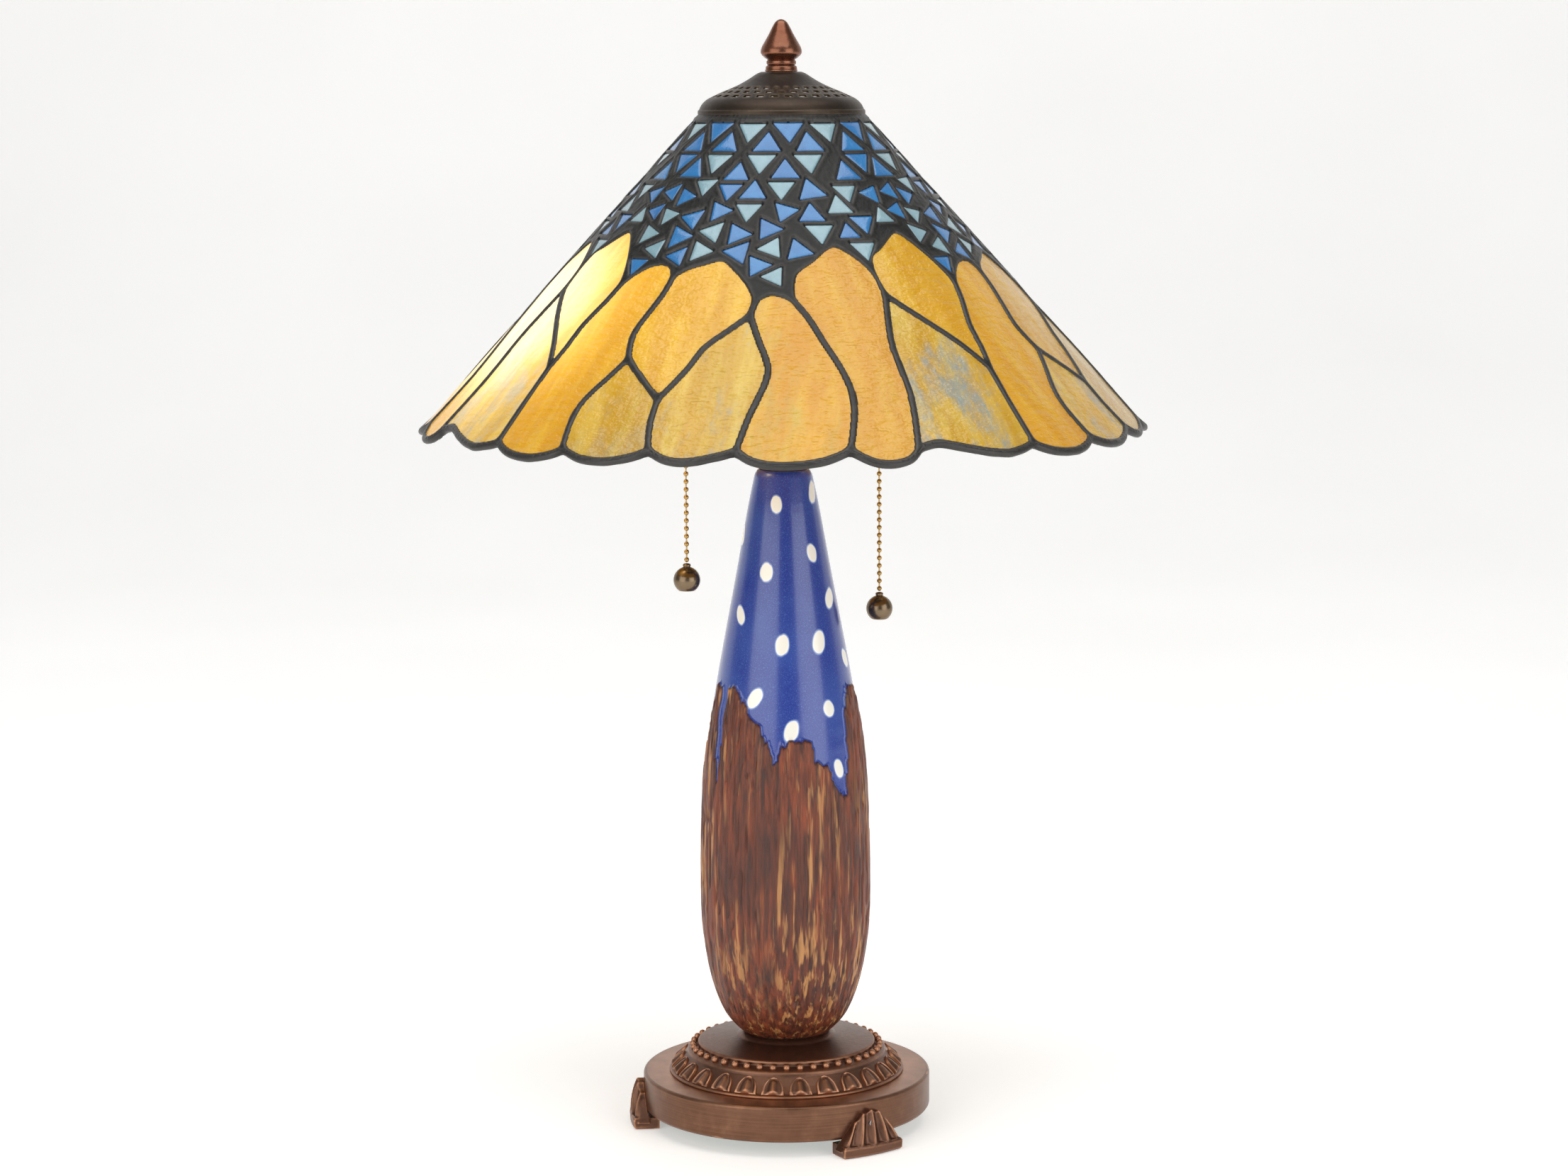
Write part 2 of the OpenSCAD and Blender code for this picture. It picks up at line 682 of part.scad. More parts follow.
module neck_gasket() {
  color("#2a2a28")
    translate([0, 0, column_top])
      pipe(riser_r + 8, stem_r + pipe_clear, gasket_h);
}

module neck_ring() {
  r = riser_r + 9;
  color("#a8623c")
    translate([0, 0, column_top + gasket_h])
      difference() {
        rotate_extrude($fn = 96)
          polygon([[0, 0], [r - 0.8, 0], [r, 0.8], [r, neck_ring_h - 1.6], [r - 1.6, neck_ring_h],
            [0, neck_ring_h]]);
        translate([0, 0, -1])
          cylinder(r = stem_r + pipe_clear, h = neck_ring_h + 2);
      }
}

module riser_tube() {
  color("#b98a4a")
    translate([0, 0, neck_top])
      pipe(riser_r, riser_r - riser_wall, socket_z - cluster_h / 2 - neck_top);
}

module cluster_body() {
  color("#b98a4a")
    translate([0, 0, socket_z - cluster_h / 2])
      difference() {
        rotate_extrude($fn = 96)
          polygon([[0, 0], [cluster_r - 3, 0], [cluster_r, 3], [cluster_r, cluster_h - 3],
            [cluster_r - 3, cluster_h], [0, cluster_h]]);
        translate([0, 0, -1])
          cylinder(r = stem_r, h = cluster_h + 2);
        for (side = [0, 1])
          rotate([0, 0, socket_az + 180 * side])
            translate([0, 0, cluster_h / 2])
              rotate([90, 0, 0])
                cylinder(r = arm_r, h = cluster_r + 1);
      }
}

module top_nipple() {
  color("#c9ac62")
    translate([0, 0, socket_z + 6])
      pipe(stem_r, stem_bore_r, nipple_top - socket_z - 6);
}

module seat_nut() {
  color("#c0a860")
    translate([0, 0, cap_top - cap_wall - seat_washer_h - seat_nut_h - run_clear])
      hex_nut(stem_r * 3, stem_r, seat_nut_h);
}

module seat_washer() {
  color("#b8b8b8")
    translate([0, 0, cap_top - cap_wall - seat_washer_h - run_clear])
      pipe(stem_r * 2.2, stem_r + pipe_clear, seat_washer_h);
}

// ---------- sockets ----------
// Stands its child on a socket's axis, with +Z outwards from the lamp and +Y up.
module on_socket(side) {
  rotate([0, 0, socket_az + 180 * side])
    translate([0, 0, socket_z])
      rotate([90, 0, 0])
        children();
}

// Stands its child on a pull chain's line, with +Z up and its zero at the socket's axis.
module on_pull(side) {
  rotate([0, 0, socket_az + 180 * side])
    translate([0, -pull_reach, socket_z])
      children();
}

module arm(side) {
  color("#c9ac62")
    on_socket(side)
      translate([0, 0, arm_in])
        pipe(arm_r, stem_bore_r, cap_start + 5 - arm_in);
}

module socket_cap(side) {
  w = 0.8;
  r = socket_r + w + 0.05;
  color("#b8924c")
    on_socket(side)
      rotate_extrude($fn = 96)
        polygon([[arm_r, cap_start], [arm_r + 3, cap_start], [arm_r + 3, cap_start + 2],
          [r - 5, cap_start + 5], [r - 1, cap_start + 9], [r, cap_start + 13], [r, shell_start + 4],
          [r - w, shell_start + 4], [r - w, cap_start + 13], [r - 1 - w, cap_start + 10],
          [r - 5, cap_start + 6.2], [arm_r, cap_start + 4]]);
}

module guide_hole(side, r) {
  on_pull(side)
    translate([0, 0, -socket_r - 2])
      cylinder(r = r, h = socket_r);
}

module socket_shell(side) {
  color("#c49c52")
    difference() {
      on_socket(side)
        translate([0, 0, shell_start])
          pipe(socket_r, socket_r - shell_wall, shell_end - shell_start, $fn = 96);
      guide_hole(side, guide_r + 0.1);
    }
}

module socket_liner(side) {
  color("#6a5a48")
    difference() {
      on_socket(side)
        translate([0, 0, body_start])
          pipe(socket_r - shell_wall - 0.05, socket_r - shell_wall - liner_wall, screw_end - body_start,
            $fn = 96);
      guide_hole(side, guide_r + 0.1);
    }
}

module switch_body(side) {
  r = socket_r - shell_wall - liner_wall - 0.05;
  color("#26221f")
    difference() {
      on_socket(side)
        translate([0, 0, body_start])
          cylinder(r = r, h = body_end - body_start, $fn = 96);
      on_pull(side)
        translate([0, 0, -pull_travel - lever_head_h - 0.6])
          cylinder(r = lever_head_r + run_clear, h = pull_travel + lever_head_h + 3);
      on_pull(side)
        translate([0, 0, -r - 1])
          cylinder(r = lever_r + run_clear, h = r);
    }
}

module screw_shell(side) {
  r = bulb_base_r + run_clear;
  color("#c9ac62")
    on_socket(side)
      translate([0, 0, body_end])
        pipe(r + screw_wall, r, screw_end - body_end, $fn = 96);
}

module contact(side) {
  color("#c08040")
    on_socket(side)
      translate([0, 0, body_end])
        cylinder(r1 = 4.5, r2 = 2.4, h = contact_h);
}

module pull_guide(side) {
  color("#c9ac62")
    on_pull(side)
      difference() {
        union() {
          translate([0, 0, -socket_r - guide_len])
            cylinder(r = guide_r, h = guide_len + 1.4);
          translate([0, 0, -socket_r - guide_len])
            cylinder(r1 = guide_r + 0.8, r2 = guide_r, h = 2);
        }
        translate([0, 0, -socket_r - guide_len - 1])
          cylinder(r = lever_r + run_clear, h = guide_len + 6);
      }
}

module pull_lever(side) {
  color("#c9ac62")
    on_pull(side)
      difference() {
        union() {
          translate([0, 0, -lever_head_h])
            cylinder(r = lever_head_r, h = lever_head_h);
          translate([0, 0, -chain_start + 1])
            cylinder(r = lever_r, h = chain_start - 2);
          translate([0, 0, -chain_start])
            sphere(r = bell_r, $fn = 48);
        }
        translate([0, 0, -chain_start])
          sphere(r = chain_bead_r + run_clear, $fn = 48);
        translate([0, 0, -chain_start - bell_r - 1])
          cylinder(r1 = (bell_r + 1) * tan(55), r2 = 0.01, h = bell_r + 1);
      }
}

// Beads on a wire, from the bell down to the ball.
module chain(side, drop) {
  first = -chain_start;
  last = -drop + ball_r + collar_r;
  count = floor((first - last) / chain_pitch);
  color("#b08a4c")
    on_pull(side)
      union() {
        for (k = [0:count])
          translate([0, 0, first - k * (first - last - chain_bead_r) / count])
            sphere(r = chain_bead_r, $fn = 32);
        translate([0, 0, last])
          cylinder(r = wire_r, h = first - last, $fn = 16);
      }
}

module ball(side, drop) {
  cut = 1.6;
  color("#b08a4c")
    on_pull(side)
      translate([0, 0, -drop])
        difference() {
          union() {
            sphere(r = ball_r, $fn = 96);
            translate([0, 0, ball_r])
              sphere(r = collar_r, $fn = 48);
          }
          translate([0, 0, -ball_r * 2 + cut])
            cylinder(r = ball_r, h = ball_r);
          translate([0, 0, ball_r + collar_r - 0.5])
            cylinder(r = collar_r, h = 3);
        }
}

module bulb_base(side) {
  color("#c8c4bc")
    on_socket(side)
      difference() {
        rotate_extrude($fn = 96)
          polygon([[0, base_start], [3, base_start], [4, base_start + 1.5],
            [bulb_base_r - 2, base_start + 3], [bulb_base_r, base_start + 5],
            [bulb_base_r, base_end], [0, base_end]]);
        translate([0, 0, base_start + 5])
          cylinder(r = bulb_base_r - 1, h = base_end);
      }
}

module bulb_glass(side) {
  neck = bulb_base_r - 1.1;
  mid = bulb_tip - bulb_r;
  outer = bent([[neck, base_start + 8], [neck, base_end - 1], [neck + 1.4, base_end + 3],
    [bulb_r - 3, mid - 11], [bulb_r, mid - 1]], 3);
  dome = [for (a = [0:15:75]) [bulb_r * cos(a), mid + bulb_r * sin(a)]];
  color([1, 0.96, 0.85, 0.6])
    on_socket(side)
      difference() {
        rotate_extrude($fn = 96)
          polygon(concat([[0, base_start + 8]], outer, dome, [[0, bulb_tip]]));
        rotate_extrude($fn = 96)
          polygon(concat([[0, base_start + 7]],
            [for (q = concat([[neck, base_start + 7]], outer, dome)) [q[0] - bulb_wall, q[1] - 0.4]],
            [[0, bulb_tip - bulb_wall]]));
      }
}

module left_arm() arm(0);
module left_socket_cap() socket_cap(0);
module left_socket_shell() socket_shell(0);
module left_socket_liner() socket_liner(0);
module left_switch_body() switch_body(0);
module left_screw_shell() screw_shell(0);
module left_contact() contact(0);
module left_pull_guide() pull_guide(0);
module left_pull_lever() pull_lever(0);
module left_chain() chain(0, left_drop);
module left_ball() ball(0, left_drop);
module left_bulb_base() bulb_base(0);
module left_bulb_glass() bulb_glass(0);
module right_arm() arm(1);
module right_socket_cap() socket_cap(1);
module right_socket_shell() socket_shell(1);
module right_socket_liner() socket_liner(1);
module right_switch_body() switch_body(1);
module right_screw_shell() screw_shell(1);
module right_contact() contact(1);
module right_pull_guide() pull_guide(1);
module right_pull_lever() pull_lever(1);
module right_chain() chain(1, right_drop);
module right_ball() ball(1, right_drop);
module right_bulb_base() bulb_base(1);
module right_bulb_glass() bulb_glass(1);

// ---------- shade ----------
band_top_r = shade_top_r - 0.6;
band_wall = 2;

// A quarter of the cone's wall, cut upright at the top band.
module cone_wall() {
  s0 = (band_top_r - shade_top_r) / sin(cone_a);
  top = [band_top_r, shade_top_z - s0 * cos(cone_a)];
  low = [shade_top_r, shade_top_z] + [sin(cone_a), -cos(cone_a)] * (shade_slant + 2);
  rotate([0, 0, quarter_a - repeat_a])
    rotate_extrude(angle = repeat_a, $fn = cone_sides)
      polygon([top - [0, lead_t / sin(cone_a)], low - lead_t * [cos(cone_a), sin(cone_a)],
        low, top]);
}

// One of the four quarters that the soldered network is made of; they meet on radial planes.
module leading_quarter(q) {
  hole = lead_t * 3;
  color("#2c2b2a")
    rotate([0, 0, q * repeat_a])
      difference() {
        cone_wall();
        petal_panes(upper_petals, lead_w / 2, hole, near_turns);
        petal_panes(lower_petals, lead_w / 2, hole, near_turns);
        petal_panes(tall_petals, lead_w / 2, hole, near_turns);
        jewel_holes(bright_set, near_turns);
        jewel_holes(pale_set, near_turns);
        rim_cut(near_turns);
      }
}

module right_leading() leading_quarter(0);
module back_leading() leading_quarter(1);
module left_leading() leading_quarter(2);
module front_leading() leading_quarter(3);

module upper_petal_glass() {
  color("#f0a020")
    petal_panes(upper_petals, lead_w / 2 + foil_gap, glass_t);
}

module lower_petal_glass() {
  color("#d8a038")
    petal_panes(lower_petals, lead_w / 2 + foil_gap, glass_t);
}

module tall_petal_glass() {
  color("#e89a18")
    petal_panes(tall_petals, lead_w / 2 + foil_gap, glass_t);
}

module bright_jewels() {
  color("#2f7fd0")
    jewel_panes(bright_set, -foil_gap, glass_t);
}

module pale_jewels() {
  color("#8fbfcf")
    jewel_panes(pale_set, -foil_gap, glass_t);
}

module top_band() {
  color("#3a3836")
    translate([0, 0, shade_top_z - 5])
      pipe(band_top_r * cos(180 / cone_sides) - 0.05, band_top_r - band_wall, 5 - run_clear, $fn = 128);
}

module shade_cap() {
  lip = shade_top_r - 0.8;
  outline = bent([[12, cap_h], [18, cap_h - 3.2], [27.2, cap_h - 8.2], [38.9, cap_h - 13.4],
    [45.4, cap_h - 17.2], [48.3, cap_h - 21], [lip, cap_h - 24], [lip, 0]], 2);
  color("#33291f")
    translate([0, 0, shade_top_z])
      difference() {
        rotate_extrude($fn = 128)
          polygon(concat([[0, cap_h]], outline, [[lip - cap_wall, 0]],
            [for (q = rev(outline)) if (q[1] > 2) [max(q[0] - cap_wall * 0.7, 1), q[1] - cap_wall]],
            [[0, cap_h - cap_wall]]));
        translate([0, 0, -1])
          cylinder(r = stem_r + run_clear, h = cap_h + 2);
        for (ring = [0:2], k = [0:vent_count - 1])
          rotate([0, 0, (k + ring / 2) * 360 / vent_count])
            translate([0, -29.5 - ring * 5, 0])
              scale([0.36 + 0.06 * ring, 1, 1])
                cylinder(r = 4, h = cap_h, $fn = 4);
      }
}

module finial() {
  k = finial_r / 12.2;
  h = finial_h;
  skin = bent([[9.1 * k, 0], [9.1 * k, h * 0.11], [8.7 * k, h * 0.2], [11.2 * k, h * 0.28],
    [finial_r, h * 0.37], [11.4 * k, h * 0.47], [9.1 * k, h * 0.62], [7 * k, h * 0.73],
    [5.2 * k, h * 0.86], [3.4 * k, h * 0.95]], 3);
  color("#8a4f33")
    translate([0, 0, cap_top + run_clear])
      difference() {
        rotate_extrude($fn = 96)
          polygon(concat([[0, 0]], skin, [[1.5 * k, h - run_clear], [0, h - run_clear]]));
        translate([0, 0, -1])
          cylinder(r = stem_r + run_clear, h = nipple_top - cap_top + 1.6);
      }
}

base_plate();
base_plinth();
ballast_weight();
bottom_cover();
base_felt();
front_foot();
back_foot();
left_foot();
foot_screws();
cord_bushing();
stem_nut();
stem_washer();
stem_pipe();
ceramic_column();
column_gasket();
neck_gasket();
neck_ring();
riser_tube();
cluster_body();
top_nipple();
seat_nut();
seat_washer();
left_arm();
left_socket_cap();
left_socket_shell();
left_socket_liner();
left_switch_body();
left_screw_shell();
left_contact();
left_pull_guide();
left_pull_lever();
left_chain();
left_ball();
left_bulb_base();
left_bulb_glass();
right_arm();
right_socket_cap();
right_socket_shell();
right_socket_liner();
right_switch_body();
right_screw_shell();
right_contact();
right_pull_guide();
right_pull_lever();
right_chain();
right_ball();
right_bulb_base();
right_bulb_glass();
front_leading();
right_leading();
back_leading();
left_leading();
upper_petal_glass();
lower_petal_glass();
tall_petal_glass();
bright_jewels();
pale_jewels();
top_band();
shade_cap();
finial();
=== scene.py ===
"""Table lamp with a soldered glass cone shade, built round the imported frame."""
import logging
import math
from dataclasses import dataclass, field
from enum import Enum
from typing import Callable, Iterable, Optional, Sequence

import bmesh
import bpy
import numpy as np
from mathutils import Matrix, Vector, geometry
from mathutils.bvhtree import BVHTree


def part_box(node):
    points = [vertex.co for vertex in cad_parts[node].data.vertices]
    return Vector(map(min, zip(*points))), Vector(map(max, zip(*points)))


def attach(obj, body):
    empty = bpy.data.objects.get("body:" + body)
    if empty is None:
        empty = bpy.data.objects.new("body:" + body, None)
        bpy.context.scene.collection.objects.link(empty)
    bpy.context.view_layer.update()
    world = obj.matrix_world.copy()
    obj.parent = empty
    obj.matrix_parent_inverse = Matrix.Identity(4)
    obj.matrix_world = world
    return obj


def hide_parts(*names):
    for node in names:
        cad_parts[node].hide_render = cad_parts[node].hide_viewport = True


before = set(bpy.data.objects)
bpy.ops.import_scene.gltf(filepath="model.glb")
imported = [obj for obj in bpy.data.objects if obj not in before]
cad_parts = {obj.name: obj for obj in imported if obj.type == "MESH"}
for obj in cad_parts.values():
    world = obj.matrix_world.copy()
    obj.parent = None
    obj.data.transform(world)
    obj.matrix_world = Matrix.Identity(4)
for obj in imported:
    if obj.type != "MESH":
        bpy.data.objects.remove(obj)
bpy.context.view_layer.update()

LOG = logging.getLogger("lamp")
MM = 0.001
Point = tuple[float, float]
Colour = tuple[float, float, float]
LEADING = ("front_leading", "right_leading", "back_leading", "left_leading")


class Side(Enum):
    """Which of the two sockets a piece belongs to."""

    LEFT = "left"
    RIGHT = "right"


# ---------------------------------------------------------------- small tools


def rgb(code: str) -> Colour:
    """Turns a hex colour into linear light.

    Args:
        code: Six hex digits.

    Returns:
        Red, green and blue in linear light.
    """
    parts = [int(code[i:i + 2], 16) / 255 for i in (0, 2, 4)]
    red, green, blue = (c / 12.92 if c <= 0.04045 else ((c + 0.055) / 1.055) ** 2.4 for c in parts)
    return red, green, blue


def smooth_step(x: np.ndarray, low: float, high: float) -> np.ndarray:
    """Eases from 0 at low to 1 at high.

    Args:
        x: Values to ease.
        low: Where the ease starts.
        high: Where it ends.

    Returns:
        The eased values.
    """
    t = np.clip((x - low) / (high - low), 0, 1)
    return t * t * (3 - 2 * t)


def lattice_noise(u: np.ndarray, v: np.ndarray, seed: int, wrap: int = 0) -> np.ndarray:
    """Smooth noise from a seeded lattice of random heights.

    Args:
        u: First coordinate, in lattice cells.
        v: Second coordinate, in lattice cells.
        seed: Seed of the lattice.
        wrap: Cells after which u repeats, or 0 for none.

    Returns:
        Values from -1 to 1.
    """
    size = 256
    table = np.random.default_rng(seed).uniform(-1, 1, (size, size))
    iu, iv = np.floor(u).astype(int), np.floor(v).astype(int)
    fu, fv = u - iu, v - iv
    fu, fv = fu * fu * (3 - 2 * fu), fv * fv * (3 - 2 * fv)
    period = wrap if wrap else size

    def at(du: int, dv: int) -> np.ndarray:
        """Height of a neighbouring lattice point."""
        return table[(iu + du) % period % size, (iv + dv) % size]

    low = at(0, 0) * (1 - fu) + at(1, 0) * fu
    high = at(0, 1) * (1 - fu) + at(1, 1) * fu
    return low * (1 - fv) + high * fv


def bent(points: Sequence[Point], steps: int = 4) -> list[Point]:
    """A smooth run through the given points.

    Args:
        points: The points to pass through.
        steps: Pieces between two points.

    Returns:
        The finer run.
    """
    p = [np.array(q, float) for q in points]
    out: list[Point] = []
    for i in range(len(p) - 1):
        a, b, c, d = p[max(i - 1, 0)], p[i], p[i + 1], p[min(i + 2, len(p) - 1)]
        for k in range(steps):
            t = k / steps
            q = 0.5 * (2 * b + (c - a) * t + (2 * a - 5 * b + 4 * c - d) * t * t
                       + (3 * b - a - 3 * c + d) * t ** 3)
            out.append((float(q[0]), float(q[1])))
    out.append((float(p[-1][0]), float(p[-1][1])))
    return out


def eased(points: Sequence[Point], radius: float, steps: int = 4) -> list[Point]:
    """Rounds the corners of an open outline.

    Args:
        points: The corners.
        radius: How far from a corner its rounding starts.
        steps: Pieces in each rounding.

    Returns:
        The rounded outline.
    """
    p = [np.array(q, float) for q in points]
    out = [tuple(p[0])]
    for a, b, c in zip(p, p[1:], p[2:]):
        start = b + (a - b) * min(radius / max(np.linalg.norm(a - b), 1e-9), 0.45)
        end = b + (c - b) * min(radius / max(np.linalg.norm(c - b), 1e-9), 0.45)
        for k in range(steps + 1):
            t = k / steps
            q = start * (1 - t) ** 2 + 2 * b * t * (1 - t) + end * t * t
            out.append((float(q[0]), float(q[1])))
    out.append(tuple(p[-1]))
    return out


def make_piece(name: str, verts: np.ndarray, faces: Iterable[Sequence[int]],
               smooth: bool = True) -> bpy.types.Object:
    """Makes a mesh object in metres.

    Args:
        name: Name of the piece.
        verts: One row of x, y and z for each vertex.
        faces: Vertex numbers of each face.
        smooth: Whether its shading is smooth.

    Returns:
        The object.
    """
    mesh = bpy.data.meshes.new(name)
    mesh.from_pydata([tuple(v) for v in np.asarray(verts, float).tolist()], [],
                     [tuple(f) for f in faces])
    mesh.validate()
    bm = bmesh.new()
    bm.from_mesh(mesh)
    bmesh.ops.recalc_face_normals(bm, faces=bm.faces)
    bm.to_mesh(mesh)
    bm.free()
    if smooth:
        mesh.polygons.foreach_set("use_smooth", [True] * len(mesh.polygons))
    piece = bpy.data.objects.new(name, mesh)
    bpy.context.scene.collection.objects.link(piece)
    return piece


def keep_creases(piece: bpy.types.Object, degrees: float = 35) -> None:
    """Keeps edges sharper than an angle crisp in a smooth piece.

    Args:
        piece: The piece.
        degrees: The angle.
    """
    bm = bmesh.new()
    bm.from_mesh(piece.data)
    for edge in bm.edges:
        if len(edge.link_faces) == 2 and edge.calc_face_angle(0) > math.radians(degrees):
            edge.smooth = False
    bm.to_mesh(piece.data)
    bm.free()


def lathe(name: str, outline: Sequence[Point], segments: int = 192,
          wobble: Optional[Callable[[float, float], float]] = None) -> bpy.types.Object:
    """Turns an outline of radius and height round the lamp's axis.

    Args:
        name: Name of the piece.
        outline: Points in metres, from one end to the other; a closed ring repeats its first.
        segments: Pieces round the axis.
        wobble: Optional change of radius for an angle in radians and a height.

    Returns:
        The turned piece.
    """
    closed = outline[0] == outline[-1]
    rows = list(outline[:-1] if closed else outline)
    verts: list[tuple[float, float, float]] = []
    index: list[list[int]] = []
    for r, z in rows:
        if r < 1e-7:
            index.append([len(verts)] * segments)
            verts.append((0, 0, z))
            continue
        index.append(list(range(len(verts), len(verts) + segments)))
        for k in range(segments):
            a = 2 * math.pi * k / segments
            rr = r + (wobble(a, z) if wobble else 0)
            verts.append((rr * math.sin(a), -rr * math.cos(a), z))
    faces = []
    pairs = list(zip(index, index[1:])) + ([(index[-1], index[0])] if closed else [])
    for low, high in pairs:
        for k in range(segments):
            ring = [low[k], low[(k + 1) % segments], high[(k + 1) % segments], high[k]]
            face = [v for i, v in enumerate(ring) if v not in ring[:i]]
            if len(face) > 2:
                faces.append(face)
    return make_piece(name, np.array(verts), faces)


def joined(name: str, pieces: Sequence[bpy.types.Object]) -> bpy.types.Object:
    """Joins pieces into one object.

    Args:
        name: Name of the result.
        pieces: Pieces to join.

    Returns:
        The joined piece.
    """
    bm = bmesh.new()
    for piece in pieces:
        start = len(bm.verts)
        bm.from_mesh(piece.data)
        bm.verts.ensure_lookup_table()
        for vert in bm.verts[start:]:
            vert.co = piece.matrix_world @ vert.co
    mesh = bpy.data.meshes.new(name)
    bm.to_mesh(mesh)
    bm.free()
    for piece in pieces:
        bpy.data.objects.remove(piece)
    mesh.polygons.foreach_set("use_smooth", [True] * len(mesh.polygons))
    out = bpy.data.objects.new(name, mesh)
    bpy.context.scene.collection.objects.link(out)
    return out


def fused(piece: bpy.types.Object, voxel: float, relax: int = 2) -> None:
    """Melts overlapping lumps into one skin, as a casting is.

    Args:
        piece: The piece to melt.
        voxel: Size of a cell, in metres.
        relax: Rounds of smoothing.
    """
    mod = piece.modifiers.new("melt", "REMESH")
    mod.mode = "VOXEL"
    mod.voxel_size = voxel
    mod.use_smooth_shade = True
    soft = piece.modifiers.new("relax", "SMOOTH")
    soft.iterations = relax
    soft.factor = 0.5
    apply_all(piece)


def apply_all(piece: bpy.types.Object) -> None:
    """Applies every modifier of a piece to its mesh."""
    graph = bpy.context.evaluated_depsgraph_get()
    graph.update()
    mesh = bpy.data.meshes.new_from_object(piece.evaluated_get(graph))
    piece.modifiers.clear()
    old = piece.data
    piece.data = mesh
    bpy.data.meshes.remove(old)


def paint(piece: bpy.types.Object, name: str, values: np.ndarray) -> None:
    """Stores one value for each vertex, for a material to read.

    Args:
        piece: The piece.
        name: Name of the layer.
        values: One value for each vertex.
    """
    layer = piece.data.attributes.new(name, "FLOAT", "POINT")
    layer.data.foreach_set("value", np.asarray(values, np.float32))


def points_of(node: str) -> np.ndarray:
    """The vertices of a CAD node, one row of x, y and z for each."""
    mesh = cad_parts[node].data
    co = np.empty(len(mesh.vertices) * 3, np.float32)
    mesh.vertices.foreach_get("co", co)
    return co.reshape(-1, 3).astype(float)


def settle(piece: bpy.types.Object, body: str, finish: bpy.types.Material,
           nodes: Sequence[str] = ()) -> None:
    """Gives a piece its finish, its body and the nodes that it stands for.

    Args:
        piece: The piece.
        body: The body that it rides on.
        finish: Its material.
        nodes: The CAD nodes that it replaces.
    """
    piece.data.materials.clear()
    piece.data.materials.append(finish)
    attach(piece, body)
    if nodes:
        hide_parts(*nodes)
    LOG.info("%s on %s, %d faces", piece.name, body, len(piece.data.polygons))


# ---------------------------------------------------------------- shader effects


class Wiring:
    """A short way to lay out a node tree."""

    def __init__(self, tree: bpy.types.NodeTree) -> None:
        """Keeps the tree that the nodes go into."""
        self.tree = tree

    def add(self, kind: str, **values: object) -> bpy.types.Node:
        """Adds a node and fills in its sockets.

        Args:
            kind: The node's type, without the ShaderNode prefix.
            values: Settings by name; a socket's name has _ for a space.

        Returns:
            The node.
        """
        node = self.tree.nodes.new("ShaderNode" + kind)
        for key, value in values.items():
            if hasattr(node, key) and key not in node.inputs:
                setattr(node, key, value)
            else:
                self.feed(node.inputs[key.replace("_", " ")], value)
        return node

    def feed(self, socket: bpy.types.NodeSocket, value: object) -> None:
        """Sets a socket, or links it when the value is another socket."""
        if isinstance(value, bpy.types.NodeSocket):
            self.tree.links.new(value, socket)
        elif isinstance(value, tuple) and len(value) == 3 and socket.type == "RGBA":
            socket.default_value = (*value, 1)
        else:
            socket.default_value = value

    def math(self, how: str, a: object, b: object = 0.0, clamp: bool = False) -> bpy.types.NodeSocket:
        """One sum of two numbers.

        Args:
            how: The operation.
            a: First number or socket.
            b: Second number or socket.
            clamp: Whether the result stays from 0 to 1.

        Returns:
            The result.
        """
        node = self.tree.nodes.new("ShaderNodeMath")
        node.operation = how
        node.use_clamp = clamp
        self.feed(node.inputs[0], a)
        self.feed(node.inputs[1], b)
        return node.outputs[0]

    def blend(self, mask: object, a: object, b: object, how: str = "MIX") -> bpy.types.NodeSocket:
        """Mixes two colours by a mask.

        Args:
            mask: 0 gives a, 1 gives b.
            a: First colour or socket.
            b: Second colour or socket.
            how: The blend mode.

        Returns:
            The mixed colour.
        """
        node = self.tree.nodes.new("ShaderNodeMix")
        node.data_type = "RGBA"
        node.blend_type = how
        self.feed(node.inputs[0], mask)
        self.feed(node.inputs[6], a)
        self.feed(node.inputs[7], b)
        return node.outputs[2]

    def ramp(self, value: object, low: float, high: float) -> bpy.types.NodeSocket:
        """Stretches a value so that low gives 0 and high gives 1."""
        node = self.tree.nodes.new("ShaderNodeMapRange")
        node.interpolation_type = "SMOOTHSTEP"
        self.feed(node.inputs[0], value)
        node.inputs[1].default_value = low
        node.inputs[2].default_value = high
        return node.outputs[0]

    def noise(self, where: object, scale: float, detail: float = 3.0,
              rough: float = 0.5) -> bpy.types.NodeSocket:
        """Soft noise from 0 to 1."""
        node = self.add("TexNoise", Scale=scale, Detail=detail, Roughness=rough)
        self.feed(node.inputs["Vector"], where)
        return node.outputs["Fac"]

    def stretch(self, where: object, scale: tuple[float, float, float]) -> bpy.types.NodeSocket:
        """Scales a position before a texture reads it."""
        node = self.add("Mapping")
        self.feed(node.inputs["Vector"], where)
        node.inputs["Scale"].default_value = scale
        return node.outputs[0]


